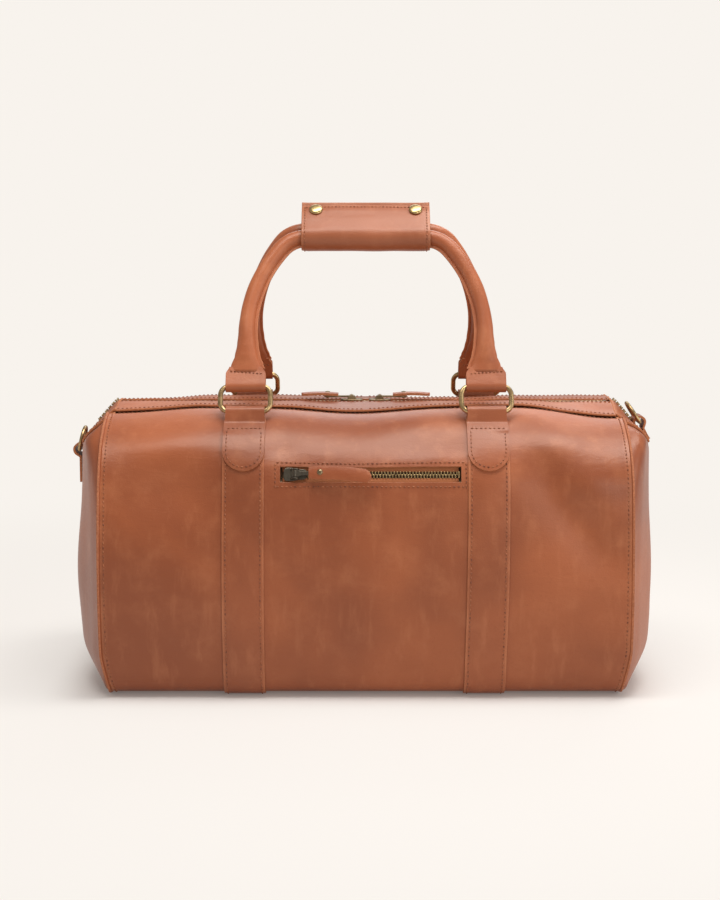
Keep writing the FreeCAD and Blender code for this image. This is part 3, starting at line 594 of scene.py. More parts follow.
antique_brass = metal("antique_brass", srgb(184, 156, 112), srgb(88, 68, 48), 0.26, 0.8)
dark_brass = metal("dark_brass", srgb(146, 126, 96), srgb(62, 52, 42), 0.28, 0.8)
gunmetal = metal("gunmetal", srgb(104, 96, 84), srgb(48, 44, 40), 0.3, 0.7)


def dress(node, material):
    """A node of the frame keeps its shape and gets a finish."""
    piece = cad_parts[node]
    piece.data.materials.clear()
    piece.data.materials.append(material)


for end in ("front", "rear"):
    for side in ("left", "right"):
        dress(f"ring_{end}_{side}", antique_brass)
for side in ("left", "right"):
    dress("side_dee_" + side, antique_brass)
dress("main_zip_stops", dark_brass)

# ---------------------------------------------------------------- chapes
# Each ring is held by a tongue of leather with a rounded end. It is folded round the ring's
# lower bar, sewn down over the end of the strap and closed by a row of stitches at the fold.
CHAPE_INNER = 0.0021
LOOP_OUTER = 0.0052
SHOULDER = Vector((-0.0361, 0.1679))


def trace(points, step):
    """A path through points as even steps, each with the direction to its left."""
    path = [Vector(p) for p in points]
    lengths = [0.0]
    for one, two in zip(path, path[1:]):
        lengths.append(lengths[-1] + (two - one).length)
    count = max(2, round(lengths[-1] / step))
    spots, k = [], 0
    for n in range(count + 1):
        at = lengths[-1] * n / count
        while k < len(path) - 2 and lengths[k + 1] < at:
            k += 1
        share = (at - lengths[k]) / max(lengths[k + 1] - lengths[k], 1e-9)
        spots.append(path[k].lerp(path[k + 1], min(share, 1.0)))
    traced = []
    for n, spot in enumerate(spots):
        along = spots[min(n + 1, count)] - spots[max(n - 1, 0)]
        traced.append((spot, Vector((-along.y, along.x)).normalized()))
    return traced, lengths[-1]


def bow(centre, radius, first, last, count=24):
    """Points on an arc, in degrees."""
    turns = [math.radians(first + (last - first) * k / count) for k in range(count + 1)]
    return [Vector((centre[0] + radius * math.cos(turn), centre[1] + radius * math.sin(turn)))
            for turn in turns]


def along_path(traced, length, b):
    """The point and left direction at a distance along a traced path."""
    at = min(max(b / length, 0.0), 1.0) * (len(traced) - 1)
    k = min(int(at), len(traced) - 2)
    (one, n_one), (two, n_two) = traced[k], traced[k + 1]
    return one.lerp(two, at - k), n_one.lerp(n_two, at - k).normalized()


tongue_radius = 0.080 + CHAPE_INNER + LEATHER
loop_spot = SHOULDER + (0.080 + CHAPE_INNER + LOOP_OUTER) * Vector(
    (math.cos(math.radians(RING_TURN)), math.sin(math.radians(RING_TURN))))
# From the tip of the tongue up the shoulder, over the ring's bar and down behind it.
chape_points = bow(SHOULDER, tongue_radius, 157.0, 122.5, 20)
chape_points += bow(loop_spot, LOOP_OUTER, 170.0, -80.0, 30)
chape_trace, chape_length = trace(chape_points, 0.0012)
TIP = 0.018
SEWN_IN, SEWN_TOP = 0.83, 0.040


def tip_share(b):
    """How much of the full width the rounded tip has, b from its end."""
    return math.sqrt(max(1 - ((TIP - b) / TIP) ** 2, 0.0016)) if b < TIP else 1.0


def chape_place(x, turn):
    def place(a, b, lift):
        half = STRAP_HALF
        half -= 0.001 * ease(b, chape_length - 0.034, chape_length - 0.026)
        half *= tip_share(b)
        spot, left = along_path(chape_trace, chape_length, b)
        point = spot + left * lift
        free = 1 - ease(b, 0.034, 0.042)
        tight = Vector((x + a * half, turn * point.x, point.y))
        return settle(tight).lerp(tight, 1 - free)
    return place


chape_steps = [TIP * (1 - math.cos(math.pi / 2 * k / 12)) for k in range(12)]
chape_steps += spaced(TIP, chape_length, 0.0013)
for end, turn in (("front", 1), ("rear", -1)):
    for side, x in (("left", -STRAP_X), ("right", STRAP_X)):
        place = chape_place(x, turn)
        slab(f"chape_leather_{end}_{side}", spaced(-1, 1, 0.14), chape_steps, place,
             nodes=[f"chape_{end}_{side}"],
             finishes=(strap_leather, cut_edge), worn=0.0)
        up_side = spaced(TIP, SEWN_TOP, 0.003)
        border = [(-SEWN_IN, b) for b in reversed(up_side)]
        for k in range(49):
            turn_k = math.pi * k / 48
            b = TIP - math.sin(turn_k) * (TIP - 0.0032)
            border.append((-math.cos(turn_k) * SEWN_IN / tip_share(b), b))
        border += [(SEWN_IN, b) for b in up_side]
        fold_row = [(a, SEWN_TOP + 0.0025) for a in spaced(-0.86, 0.86, 0.08)]
        stitches(f"chape_stitching_{end}_{side}",
                 [sewn_line(place, spots) for spots in (border, fold_row)])

# ---------------------------------------------------------------- handles
# Each handle is a strip of leather rolled round a rope and sewn shut along the inside of the
# arch. At both ends it opens out flat, folds round the ring and is sewn across above it.
handle_leather = leather("handle_leather", srgb(170, 94, 56), srgb(138, 70, 40),
                         srgb(200, 130, 90), 0.06)
BAR = Vector((0, -0.06306, 0.26832))
GRIP_HALF, GRIP_BEND, LEG = 0.054, 0.029, 0.049
SPACING = 0.016
FLARE = ((0.0, 0.0176, 0.0052), (0.006, 0.0174, 0.0049), (0.013, 0.0160, 0.0034),
         (0.020, 0.0130, 0.0040), (0.028, 0.0102, 0.0056), (0.038, 0.0084, 0.0066),
         (0.050, 0.0074, 0.0071), (0.066, 0.0070, 0.0070))


def flare(distance, column):
    """Half width (1) or half depth (2) of a leg at a distance above the bar."""
    for low, high in zip(FLARE, FLARE[1:]):
        if distance <= high[0]:
            return low[column] + (high[column] - low[column]) * ease(distance, low[0], high[0])
    return FLARE[-1][column]


def handle_path(length):
    """The arch in its own plane, from the left ring's bar to the right one's."""
    across, up = STRAP_X - GRIP_HALF, length - LEG
    leg_bend = (across ** 2 + up ** 2 - 2 * up * GRIP_BEND) / (2 * (across - GRIP_BEND))
    small = Vector((GRIP_HALF, length - GRIP_BEND))
    large = Vector((STRAP_X - leg_bend, LEG))
    meet = math.degrees(math.atan2(small.y - large.y, small.x - large.x))
    right = [Vector((0.0, length)), Vector((GRIP_HALF, length))]
    right += bow(small, GRIP_BEND, 90, meet)[1:] + bow(large, leg_bend, meet, 0, 40)[1:]
    right += [Vector((STRAP_X, 0.0))]
    return [Vector((-p.x, p.y)) for p in reversed(right)][:-1] + right


for name, front, grip_height in (("front", 1, 0.398), ("rear", -1, 0.404)):
    run, rise = -BAR.y - SPACING / 2, grip_height - BAR.z
    reach = math.hypot(run, rise)
    up = Vector((0, front * run / reach, rise / reach))
    out = Vector((0, -front * rise / reach, run / reach))
    foot = Vector((0, front * BAR.y, BAR.z))
    traced, length = trace(handle_path(reach), 0.0028)

    def at_handle(across, high, deep, foot=foot, up=up, out=out):
        return foot + Vector((across, 0, 0)) + up * high + out * deep

    def tube_place(a, b, traced=traced, length=length, at=at_handle):
        spot, left = along_path(traced, length, b)
        foot_run = min(b, length - b)
        turn = a * 2 * math.pi
        wide, deep = flare(foot_run, 1), flare(foot_run, 2)
        squared = 1 - 0.25 * (1 - ease(foot_run, 0.01, 0.04))
        c, s = math.cos(turn), math.sin(turn)
        c, s = math.copysign(abs(c) ** squared, c), math.copysign(abs(s) ** squared, s)
        ripple = 1 + 0.03 * noise.noise(Vector((b * 60, turn, 1.0)))
        return at(*(spot + left * (c * wide * ripple)), s * deep * ripple)

    tube = bmesh.new()
    rim_layer = tube.verts.layers.float.new("rim")
    tube_rings = []
    for b in spaced(0.0125, length - 0.0125, 0.0028):
        ring = []
        for k in range(40):
            vertex = tube.verts.new(tube_place(k / 40, b))
            # Painted highlight: a pale band along the top of the roll, carried by the rim
            # attribute that elsewhere marks worn edges.
            vertex[rim_layer] = 0.6 * hump(min(k, 40 - k), 0, 3)
            ring.append(vertex)
        tube_rings.append(ring)
    for low, high in zip(tube_rings, tube_rings[1:]):
        for k in range(40):
            tube.faces.new((low[k], low[(k + 1) % 40], high[(k + 1) % 40], high[k]))
    tube.faces.new(tube_rings[0][::-1])
    tube.faces.new(tube_rings[-1])
    fit(made_of(f"handle_roll_{name}", tube), (handle_leather,), "handle_" + name,
        [f"handle_{name}_cover"])

    # The sewn edge of the roll stands a little proud along the inside of the arch.
    def ridge_place(a, b, lift, traced=traced, length=length, at=at_handle):
        spot, left = along_path(traced, length, b)
        foot_run = min(b, length - b)
        inner = -flare(foot_run, 1)
        spot = spot + left * (inner + 0.0012 - a)
        return at(spot.x, spot.y, 0.0011 + lift)

    slab(f"handle_seam_{name}", spaced(0.0, 0.0036, 0.0012),
         spaced(0.016, length - 0.016, 0.0030), ridge_place, "handle_" + name, (),
         (handle_leather, cut_edge), thickness=0.0022, worn=0.0015,
         rounding=0.0005)
    loop_lines = []
    for sign in (-1, 1):
        loop_points = [Vector((-0.0027, 0.0175)), Vector((-0.0031, 0.0130))]
        loop_points += bow((0, 0), LOOP_OUTER, 168, 372, 34)
        loop_points += [Vector((0.0031, 0.0130)), Vector((0.0027, 0.0175))]
        loop_trace, loop_length = trace(loop_points, 0.0012)

        def loop_place(a, b, lift, sign=sign, at=at_handle):
            spot, left = along_path(loop_trace, loop_length, b)
            point = spot - left * lift
            wide = 0.0176 - 0.0030 * ease(point.y, 0.011, 0.0175)
            return at(sign * STRAP_X + a * wide, point.y, point.x)

        slab(f"handle_loop_{name}_{'right' if sign > 0 else 'left'}", spaced(-1, 1, 0.12),
             spaced(0.0, loop_length, 0.0012), loop_place, "handle_" + name, (),
             (handle_leather, cut_edge), worn=0.0)
        for deep in (-1, 1):
            line = []
            for a in spaced(-0.84, 0.84, 0.08):
                point = at_handle(sign * STRAP_X + a * 0.0172, 0.0120 + 0.0015 * a * sign,
                                  deep * 0.0036)
                line.append((point, out * deep))
            loop_lines.append(line)
    stitches(f"handle_stitching_{name}", loop_lines, "handle_" + name, 0.0033)


twist = Finish("twisted_rope")
spot = twist.place()
lay, fibre = twist.ribs(spot, 90.0, 1.5, "DIAGONAL"), twist.cloud(spot, 900.0)
rope = twist.surface(
    twist.mix(lay * 0.6 + fibre * 0.4, srgb(150, 128, 96), srgb(206, 188, 156)),
    0.85, lay + fibre * 0.2, 0.7, 0.001)
for name in ("front", "rear"):
    dress(f"handle_{name}_core", rope)

# ---------------------------------------------------------------- mouth strips
# A leather strip lies each side of the main zip, sewn to its panel along the outer edge. It
# stays fixed at the ends of the bag and folds back between them, so the mouth opens as a lens.
STRIP_END = 0.2245
STRIP_OUTER, STRIP_INNER = 0.0416, 0.0080
STRIP_TOP = 0.2500


def open_with(piece):
    """Bakes the piece's placement into its mesh."""
    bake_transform(piece)


def mouth_place(face, top, wave=0.0):
    def place(a, b, lift):
        ripple = wave * noise.noise(Vector((b * 26, face * 4.0, 7.0)))
        crown = wave * 0.8 * math.sin(math.pi * (a - STRIP_INNER) / (STRIP_OUTER - STRIP_INNER))
        return settle((b, face * (a + ripple * 0.4), top + lift + ripple + crown))
    return place


for mouth, face, label in (("mouth_front", -1, "front"), ("mouth_rear", 1, "rear")):
    place = mouth_place(face, STRIP_TOP, 0.0009)
    for half, side in HALVES:
        strip = slab(f"mouth_strip_{label}_{half}", spaced(STRIP_INNER, STRIP_OUTER, 0.0028),
                     [side * b for b in spaced(0.0, STRIP_END, 0.0045)], place, "",
                     [f"top_strip_{label}"], worn=0.0, rounding=0.0006, joined=True)
        open_with(strip)
        sewn = [sewn_line(place, [(a, side * b) for b in
                                  spaced(0.002, STRIP_END - 0.002, 0.004)])
                for a in (STRIP_INNER + 0.0028, STRIP_OUTER - 0.0030)]
        open_with(stitches(f"mouth_strip_stitching_{label}_{half}", sewn, ""))

# ---------------------------------------------------------------- main zip
# A heavy metal zip with two sliders that meet in the middle. Each row of brass teeth is
# clamped on the edge of a woven tape, and the tapes are sewn under the mouth strips.
tape_weave = Finish("zip_tape")
spot = tape_weave.place()
rib, fibre = tape_weave.ribs(spot, 520.0, 0.6), tape_weave.cloud(spot, 1300.0)
tape_cloth = tape_weave.surface(
    tape_weave.mix(rib * 0.5 + fibre * 0.3, srgb(146, 84, 50), srgb(184, 114, 70)),
    0.9, rib + fibre * 0.4, 0.5, 0.0003)
TAPE_TOP = 0.2477
TAPE_END, TEETH_END = 0.2248, 0.2235
TAPE_EDGES = (0.0033, 0.0180)       # from the middle of the zip
TOOTH_PITCH = 0.0034
TOOTH = ((0.0040, 0.00058, 0.0010), (0.0019, 0.00060, 0.0013), (0.0006, 0.00086, 0.0014),
         (-0.0004, 0.00062, 0.0011))


def teeth(name, spots, face, pitch=TOOTH_PITCH, body=BODY, nodes=()):
    """A row of cast teeth. Each spot is a point of the zip's middle with its own axes."""
    work = bmesh.new()
    grow = pitch / TOOTH_PITCH
    for origin, along, across, up in spots:
        rings = []
        for out, half, thick in TOOTH:
            centre = origin + across * (face * out * grow)
            rings.append([work.verts.new(centre + along * (half * grow * sx)
                                         + up * (thick * grow * sz))
                          for sx, sz in ((-1, -1), (1, -1), (1, 1), (-1, 1))])
        for low, high in zip(rings, rings[1:]):
            for k in range(4):
                work.faces.new((low[k], low[(k + 1) % 4], high[(k + 1) % 4], high[k]))
        work.faces.new(rings[0][::-1])
        work.faces.new(rings[-1])
    row = made_of(name, work)
    soften(row, 0.00022 * grow, 2, 30)
    return fit(row, (antique_brass,), body, nodes)


def zip_spot(x):
    here = settle((x, 0.0, TAPE_TOP))
    along = (settle((x + 0.001, 0.0, TAPE_TOP)) - here).normalized()
    across = Vector((0, 1, 0))
    return here, along, across, along.cross(across)


for mouth, face, label in (("mouth_front", -1, "front"), ("mouth_rear", 1, "rear")):
    for half, side in HALVES:
        tape = slab(f"zip_tape_{label}_{half}", spaced(*TAPE_EDGES, 0.0035),
                    [side * b for b in spaced(0.0, TAPE_END, 0.0055)],
                    mouth_place(face, TAPE_TOP), "", [f"main_zip_tape_{label}"],
                    (tape_cloth, tape_cloth), 0.0008, worn=0.0, rounding=0.0, joined=True)
        open_with(tape)
        shift = TOOTH_PITCH * (0.25 if face * side < 0 else 0.75)
        marks = [side * (shift + TOOTH_PITCH * k) for k in range(int(TEETH_END / TOOTH_PITCH))]
        row = teeth(f"zip_teeth_{label}_{half}", [zip_spot(x) for x in marks], face, body="",
                    nodes=[f"main_zip_teeth_{label}"])
        open_with(row)


def prism(name, outline_points, low, high, at, material, body, nodes=(),
          rounding=0.0004):
    """A plate with this outline, drawn in its own frame."""
    work = bmesh.new()
    lower, upper = ([work.verts.new(at @ Vector((x, y, z))) for x, y in outline_points]
                    for z in (low, high))
    for k in range(len(lower)):
        n = (k + 1) % len(lower)
        work.faces.new((lower[k], lower[n], upper[n], upper[k]))
    work.faces.new(lower[::-1])
    work.faces.new(upper)
    plate = made_of(name, work)
    soften(plate, rounding, 3, 40)
    return fit(plate, (material,), body, nodes)


def turned(name, profile, at, material, body, nodes=(), count=40):
    """A lathe-turned piece: the profile is (radius, height) pairs along its own z."""
    work = bmesh.new()
    rings = []
    for radius, height in profile:
        rings.append([work.verts.new(at @ Vector((
            radius * math.cos(2 * math.pi * k / count),
            radius * math.sin(2 * math.pi * k / count), height))) for k in range(count)])
    for low, high in zip(rings, rings[1:]):
        for k in range(count):
            work.faces.new((low[k], low[(k + 1) % count], high[(k + 1) % count], high[k]))
    work.faces.new(rings[0][::-1])
    work.faces.new(rings[-1])
    piece = made_of(name, work)
    soften(piece, 0.0002, 2, 40)
    return fit(piece, (material,), body, nodes)


def mirrored(half):
    """A closed outline from its upper half, listed from left to right."""
    return list(half) + [(x, -y) for x, y in reversed(half)]


def turn_about(axis, degrees):
    return Matrix.Rotation(math.radians(degrees), 4, axis)


PIN_UP = 0.0055
SLIDER_TOP = mirrored(((-0.0100, 0.0030), (-0.0094, 0.0046), (-0.0080, 0.0057),
                       (-0.0058, 0.0060), (-0.0020, 0.0056), (0.0030, 0.0048),
                       (0.0072, 0.0045), (0.0092, 0.0038), (0.0100, 0.0026)))
FLANGE = ((-0.0078, 0.0047), (-0.0058, 0.0050), (-0.0020, 0.0047), (0.0040, 0.0038),
          (0.0070, 0.0036), (0.0070, 0.0044), (0.0030, 0.0048), (-0.0020, 0.0056),
          (-0.0058, 0.0059), (-0.0078, 0.0056))
CHEEK = [(-0.0044, 0.0), (-0.0040, 0.0014), (-0.0026, 0.0030), (-0.0010, 0.0037),
         (0.0010, 0.0037), (0.0024, 0.0030), (0.0034, 0.0014), (0.0038, 0.0)]
LINK = mirrored(((-0.0018, 0.0022), (-0.0012, 0.0030), (0.0006, 0.0031), (0.0040, 0.0017),
                 (0.0064, 0.0016), (0.0092, 0.0031), (0.0128, 0.0034), (0.0146, 0.0026),
                 (0.0152, 0.0012)))
LINK_END = 0.0152
PULL_START, PULL_RIVET = 0.0120, 0.0220
pull_leather = leather("pull_leather", srgb(168, 91, 52), srgb(140, 70, 38),
                       srgb(198, 126, 86), 0.04)


def slider_pieces(prefix, at, body, node, plate_metal):
    """Two plates, the flanges that guide the teeth, the cheeks and the pin of the puller."""
    def part(name, edge, low, high, rounding, place=at, nodes=()):
        prism(f"{prefix}_{name}", edge, low, high, place, plate_metal, body, nodes,
              rounding)

    part("top_plate", SLIDER_TOP, 0.0017, 0.0031, 0.0006, nodes=[node])
    part("lower_plate", SLIDER_TOP, -0.0033, -0.0017, 0.0005)
    for side, y in (("near", -1), ("far", 1)):
        part("flange_" + side, [(x, y * deep) for x, deep in FLANGE], 0.0012, 0.0024, 0.0003)
        part("cheek_" + side, CHEEK, -0.0006, 0.0006, 0.0003,
             at @ Matrix.Translation((0, y * 0.0040, 0.0030)) @ turn_about("X", 90))
    part("neck", mirrored(((-0.0090, 0.0003), (-0.0074, 0.0012), (-0.0050, 0.0005))),
         -0.0018, 0.0018, 0.0002)
    pin_at = at @ Matrix.Translation((0, 0, PIN_UP)) @ turn_about("X", 90)
    turned(prefix + "_pin", ((0.0008, -0.0047), (0.0008, 0.0047)), pin_at, plate_metal, body,
           (), 16)


def puller_pieces(prefix, at, body, node, length, link_metal, sag=0.0):
    """A waisted metal link, its barrel on the pin, a leather tab and the rivet through both."""
    start, rivet_out = PULL_START, PULL_RIVET
    stretch = (rivet_out + 0.0030) / LINK_END
    prism(prefix + "_link", [(x * stretch, y) for x, y in LINK], -0.0007, 0.0007, at,
          link_metal, body, [node + "_puller"], 0.0003)
    barrel_at = at @ turn_about("X", 90)
    turned(prefix + "_barrel", ((0.0010, -0.0030), (0.0018, -0.0028), (0.0018, 0.0028),
                                (0.0010, 0.0030)), barrel_at, link_metal, body, (),
           20)
    half = 0.0060

    def pull_place(a, b, lift):
        wide = half * (0.86 + 0.14 * ease(b, start, start + 0.012))
        to_end = length - b
        if to_end < half:
            wide = half * math.sqrt(max(1 - ((half - to_end) / half) ** 2, 0.002))
        if b < start + 0.002:
            wide *= 0.86 + 0.14 * math.sqrt((b - start) / 0.002)
        arch = 0.0009 * math.sin(math.pi * (b - start) / (length - start))
        low = sag * ((b - start) / (length - start)) ** 2
        return at @ Vector((b, a * wide - low, 0.0033 + arch - 0.0007 * a * a + lift))

    ends = [length - half * (1 - math.sin(math.pi / 2 * k / 8)) for k in range(1, 9)]
    slab(prefix + "_tab", spaced(-1, 1, 0.16),
         spaced(start, start + 0.002, 0.0007) + spaced(start + 0.002, length - half, 0.0024)[1:]
         + ends, pull_place, body, [node + "_pull"],
         (pull_leather, cut_edge), 0.0022, worn=0.0, rounding=0.0005)
    rivet_at = at @ Matrix.Translation((rivet_out, 0, 0.0))
    turned(prefix + "_rivet_head", ((0.0026, 0.0031), (0.0026, 0.0037), (0.0022, 0.0043),
                                    (0.0013, 0.0047), (0.0002, 0.0048)), rivet_at,
           dark_brass, body, [node + "_rivet"])
    turned(prefix + "_rivet_shank", ((0.0019, -0.0013), (0.0019, -0.0008), (0.0012, -0.0007),
                                     (0.0012, 0.0032)), rivet_at, dark_brass, body, ())


for half, side in HALVES:
    spin = turn_about("Z", 180 if side < 0 else 0)
    home = spin @ Matrix.Translation((0.013, 0, TAPE_TOP))
    slider_pieces("main_slider_" + half, home, "slider_" + half, "main_slider_" + half,
                  dark_brass)
    puller_pieces("main_pull_" + half, home @ Matrix.Translation((0, 0, PIN_UP)),
                  "pull_" + half, "main_" + half, 0.046, dark_brass)

# ---------------------------------------------------------------- pocket zip
# A lighter zip lies behind its window, 3 mm under the leather. Its slider starts at the left
# end and carries a long leather tab.
POCKET_LEAN = 21.4
POCKET_SINK = 0.0029                # the tape lies this far under the face of the leather
pocket_frame = (Matrix.Translation(pocket_centre) @ turn_about("X", 90 - POCKET_LEAN)
                @ Matrix.Translation((0, 0, -POCKET_SINK)))
POCKET_HALF = 0.076


def pocket_spot(x):
    here = pocket_frame @ Vector((x, 0, 0))
    turn = pocket_frame.to_3x3()
    return here, turn @ Vector((1, 0, 0)), turn @ Vector((0, 1, 0)), turn @ Vector((0, 0, 1))


SMALL_PITCH = 0.0027
SMALL_TAPE = (0.0028, 0.0100)
FIRST_TOOTH, SMALL_TEETH = -0.0735, 55
for face, label in ((-1, "front"), (1, "rear")):
    def pocket_tape_place(a, b, lift, face=face):
        return pocket_frame @ Vector((b, face * a, lift))

    slab(f"pocket_tape_{label}", spaced(*SMALL_TAPE, 0.0024),
         spaced(-POCKET_HALF, POCKET_HALF, 0.008), pocket_tape_place, BODY,
         [f"pocket_zip_tape_{label}"], (tape_cloth, tape_cloth), 0.0008, worn=0.0,
         rounding=0.0)
    shift = SMALL_PITCH * (0.25 if face < 0 else 0.75)
    teeth(f"pocket_teeth_{label}", [pocket_spot(FIRST_TOOTH + shift + SMALL_PITCH * k)
                                    for k in range(SMALL_TEETH)], face, SMALL_PITCH,
          nodes=[f"pocket_zip_teeth_{label}"])
prism("pocket_zip_stop", mirrored(((0.0753, 0.0030), (0.0768, 0.0030))), -0.0016, 0.0018,
      pocket_frame, antique_brass, BODY, (), 0.0004)
at_slider = pocket_frame @ Matrix.Translation((-0.065, 0, 0))
slider_pieces("pocket_slider", at_slider, "slider_pocket", "pocket_slider", gunmetal)
puller_pieces("pocket_pull", at_slider @ Matrix.Translation((0, 0, PIN_UP))
              @ turn_about("Y", -6), "pull_pocket", "pocket", 0.066, gunmetal, 0.0048)

# ---------------------------------------------------------------- end facings
# At each end the zip runs down over the gusset under a sloping leather facing, which is sewn
# along both sides and ends at the tab of the D-ring.
FACING_RUN = 0.0345
for half, side in HALVES:
    def facing_place(a, b, lift, side=side):
        z = 0.2496 - b
        x = end_reach(a, min(z, 0.2476)) - (z - min(z, 0.2476)) * 1.6
        off = lift + 0.0022
        return settle((side * (x + off * math.sin(END_SLOPE)), a, z + off * math.cos(END_SLOPE)))

    slab(half + "_facing_leather", spaced(-0.0415, 0.0415, 0.0035),
         spaced(0.0, FACING_RUN, 0.0016), facing_place, BODY, [half + "_facing"],
         worn=0.003, rounding=0.0006)
    stitches(half + "_facing_stitching", [
        sewn_line(facing_place, [(a, b) for b in spaced(0.003, FACING_RUN - 0.003, 0.003)])
        for a in (-0.0385, 0.0385, -0.0062, 0.0062)])

    def end_spot(b, side=side):
        point = facing_place(0.0, b, 0.0008)
        along = (facing_place(0.0, b + 0.001, 0.0008) - point).normalized()
        across = Vector((0, 1, 0))
        return point, along, across, along.cross(across) * side

    for face, label, shift in ((-1, "front", 0.0), (1, "rear", TOOTH_PITCH / 2)):
        teeth(f"{half}_end_teeth_{label}",
              [end_spot(0.0012 + shift + TOOTH_PITCH * k) for k in range(6)], face)

# ---------------------------------------------------------------- end tabs
# A short leather tab is folded round the straight bar of each D-ring and sewn down, on the
# face of the left end and on the slope of the right one.
TAB_HALF, DEE_BORE = 0.010, 0.0021
RIGHT_BAR = Vector((0.25071, 0, 0.23019))
tab_frames = {
    "left": Matrix.Translation((-0.2622, 0, 0.205)) @ Matrix.Rotation(
        math.pi, 4, Vector((1, 0, -1)).normalized()),
    "right": Matrix.Translation(RIGHT_BAR) @ turn_about("Y", 47)}
for half, run, bend in (("left", 0.030, 0.0), ("right", 0.0175, 0.0030)):
    at = tab_frames[half]
    outer = DEE_BORE + LEATHER
    tab_path, tab_length = trace(
        [(run, -DEE_BORE + 0.0004)] + [(0.0060, -DEE_BORE + 0.0004)]
        + bow((0, 0), outer, 35, 268, 30) + [(run - 0.001, -outer)], 0.0010)

    def tab_place(a, b, lift, at=at, bend=bend):
        spot, left = along_path(tab_path, tab_length, b)
        spot = spot + left * lift
        return at @ Vector((spot.x, a, spot.y - bend * ease(spot.x, 0.002, 0.018)))

    slab("end_tab_" + half, spaced(-TAB_HALF, TAB_HALF, 0.0025), spaced(0, tab_length, 0.0012),
         tab_place, BODY, ["side_tab_" + half], (strap_leather, cut_edge),
         worn=0.0, rounding=0.0005)

# ---------------------------------------------------------------- grip wrap
# A padded leather wrap is sewn to the rear handle. Its flap closes round the front handle
# and both end in a stitched fin behind the grips, held together by two brass snaps.
WRAP_HALF = 0.058
FLAP_ROUND, BACK_ROUND = 0.0123, 0.0100
GRIP_STEP = math.hypot(0.016, 0.006) / 2
wrap_at = Matrix.Translation((0, 0, 0.401)) @ turn_about("X", math.degrees(
    math.atan2(0.006, 0.016)))
wrap_leather = leather("wrap_leather", srgb(152, 84, 52), srgb(128, 66, 38),
                       srgb(182, 116, 82), 0.08)


def wrap_place(traced, length, swell):
    def place(a, b, lift):
        spot, left = along_path(traced, length, b)
        puff = swell * noise.noise(Vector((a * 40, b * 50, 4.0)))
        puff -= 0.0006 * (1 - ease(WRAP_HALF - abs(a), 0.0, 0.006))
        spot = spot + left * (lift + puff)
        return wrap_at @ Vector((a, spot.x, spot.y))
    return place


flap_path, flap_length = trace(
    [(-0.0022, -FLAP_ROUND), (-GRIP_STEP, -FLAP_ROUND)]
    + bow((-GRIP_STEP, 0), FLAP_ROUND, 270, 118, 40)
    + [(-0.0030, 0.0166), (0.0060, 0.0206), (0.0135, 0.0227)], 0.0012)
flap_place = wrap_place(flap_path, flap_length, 0.0006)
flap = slab("wrap_flap", spaced(-WRAP_HALF, WRAP_HALF, 0.0030),
            spaced(0, flap_length, 0.0014), flap_place, "", ["grip_flap"],
            (wrap_leather, cut_edge), worn=0.004, rounding=0.0006)
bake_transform(flap)
wrap_path, wrap_length = trace(
    [(0.0192, 0.0224), (0.0074, 0.0106)] + bow((0.0092, 0.0092), 0.0018, 135, 100, 4)
    + bow((GRIP_STEP, 0), BACK_ROUND, 86, -90, 40) + [(-0.0060, -BACK_ROUND)], 0.0012)
back_place = wrap_place(wrap_path, wrap_length, 0.0004)
slab("wrap_back", spaced(-WRAP_HALF, WRAP_HALF, 0.0030), spaced(0, wrap_length, 0.0014),
     back_place, "handle_rear", ["grip_wrap"], (wrap_leather, cut_edge),
     worn=0.004, rounding=0.0006)


def wrap_lines(place, length, edge, first, last):
    """Stitches along both ends of the wrap and along its free edge."""
    inset = WRAP_HALF - 0.0030
    return [sewn_line(place, [(a, b) for b in spaced(first, length - last, 0.002)])
            for a in (-inset, inset)] + [
        sewn_line(place, [(a, edge) for a in spaced(-inset, inset, 0.003)])]


flap_sewing = stitches("wrap_flap_stitching", wrap_lines(
    flap_place, flap_length, flap_length - 0.003, 0.004, 0.003), "", 0.0033)
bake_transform(flap_sewing)
stitches("wrap_back_stitching", wrap_lines(
    back_place, wrap_length, 0.003, 0.003, 0.004), "handle_rear", 0.0033)
snap_brass = metal("snap_brass", srgb(188, 162, 112), srgb(112, 90, 60), 0.28, 0.6)
for half, side in HALVES:
    cap_at = (wrap_at @ Matrix.Translation((side * 0.045, 0.0062, 0.0209))
              @ turn_about("X", 21))
    turned("snap_cap_" + half, ((0.0048, -0.0001), (0.0060, 0.0003), (0.0061, 0.0008),
                                (0.0057, 0.0015), (0.0046, 0.0021), (0.0030, 0.0025),
                                (0.0014, 0.0027), (0.0002, 0.0027)), cap_at, snap_brass,
           "flap", ["snap_caps"], 48)
    stud_at = (wrap_at @ Matrix.Translation((side * 0.045, 0.0147, 0.0179))
               @ turn_about("X", -135))
    turned("snap_stud_" + half, ((0.0050, -0.0004), (0.0050, 0.0006), (0.0036, 0.0010),
                                 (0.0032, 0.0019), (0.0018, 0.0020), (0.0014, 0.0010),
                                 (0.0002, 0.0010)), stud_at, snap_brass, "handle_rear",
           ["snap_studs"], 40)

# ---------------------------------------------------------------- inside
# A cotton lining hangs in the bag from the mouth seams, over a stiff board on the floor. The
# pocket is a flat cloth bag behind the front window.
weave = Finish("lining_cotton")
spot = weave.place()
warp, weft = weave.ribs(spot, 380.0, 0.8), weave.ribs(spot, 380.0, 0.8, "Z")
shade = weave.cloud(spot, 14.0, 3.0)
cotton = weave.surface(
    weave.mix(warp * 0.3 + weft * 0.2 + shade * 0.4, srgb(112, 86, 64), srgb(150, 120, 92)),
    0.88, warp * 0.5 + weft * 0.5, 0.35, 0.0004)
LINING_IN = 0.0072


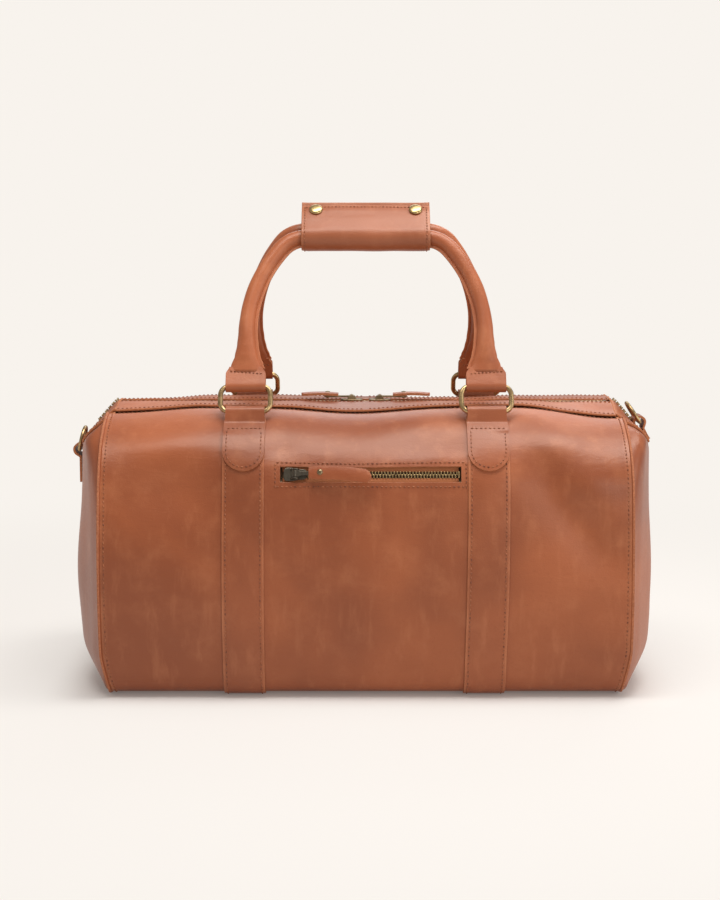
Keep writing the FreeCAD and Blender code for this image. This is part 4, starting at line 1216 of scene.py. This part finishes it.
def lining_place(a, b, lift):
    crumple = 0.0022 * noise.noise(Vector((a * 18, b * 16, 9.0)))
    crumple += 0.0012 * noise.noise(Vector((a * 45, b * 30, 4.0)))
    floor_rise = 0.0062 * (1 - ease(abs(b), 0.092, 0.118))
    return skin(a, b, -LINING_IN + lift - abs(crumple) * ease(abs(b), 0.10, 0.15)) + Vector(
        (0, 0, floor_rise * 0.3))


LINING_TOP, LINING_HALF = 0.378, 0.2220
lining_piece = slab("lining_cloth", spaced(-LINING_HALF, LINING_HALF, 0.009),
                    spaced(-LINING_TOP, LINING_TOP, 0.009), lining_place, BODY, ["lining"],
                    (cotton, cotton), 0.0008, worn=0.0, rounding=0.0)
for half, side in HALVES:
    def lining_end_place(a, b, lift, side=side):
        z = 0.0095 + 0.2160 * (1 - math.cos(math.pi * b)) / 2
        slumped = z + 0.012 * ease(z, 0.14, 0.22)
        y = a * (half_depth(min(max(slumped, 0.003), 0.2465)) - 0.0110)
        crumple = 0.0020 * noise.noise(Vector((y * 20, z * 20, side * 3.0)))
        return Vector((side * (0.2215 + crumple - lift), y, z))

    slab("lining_end_" + half, spaced(-1, 1, 0.08), spaced(0, 1, 0.04), lining_end_place, BODY,
         (), (cotton, cotton), 0.0008, worn=0.0, rounding=0.0)


POCKET_BAG, POCKET_BAG_RUNS = (-0.080, 0.088), (-0.300, -0.172)


def pocket_bag_place(a, b, lift):
    return skin(a, b, -0.0035 + lift)


pocket_cloth = slab("pocket_bag_cloth", spaced(*POCKET_BAG, 0.008),
                    spaced(*POCKET_BAG_RUNS, 0.008),
                    pocket_bag_place, BODY, ["pocket_bag"], (cotton, cotton), 0.0014,
                    worn=0.0, rounding=0.0)


pulp = Finish("grey_board")
spot = pulp.place()
fibre = pulp.cloud(spot, 320.0, 5.0)
dress("base_board", pulp.surface(
    pulp.mix(fibre * 0.6 + pulp.cloud(spot, 18.0) * 0.4, srgb(96, 88, 80),
             srgb(142, 132, 120)), 0.9, fibre, 0.3, 0.0003))
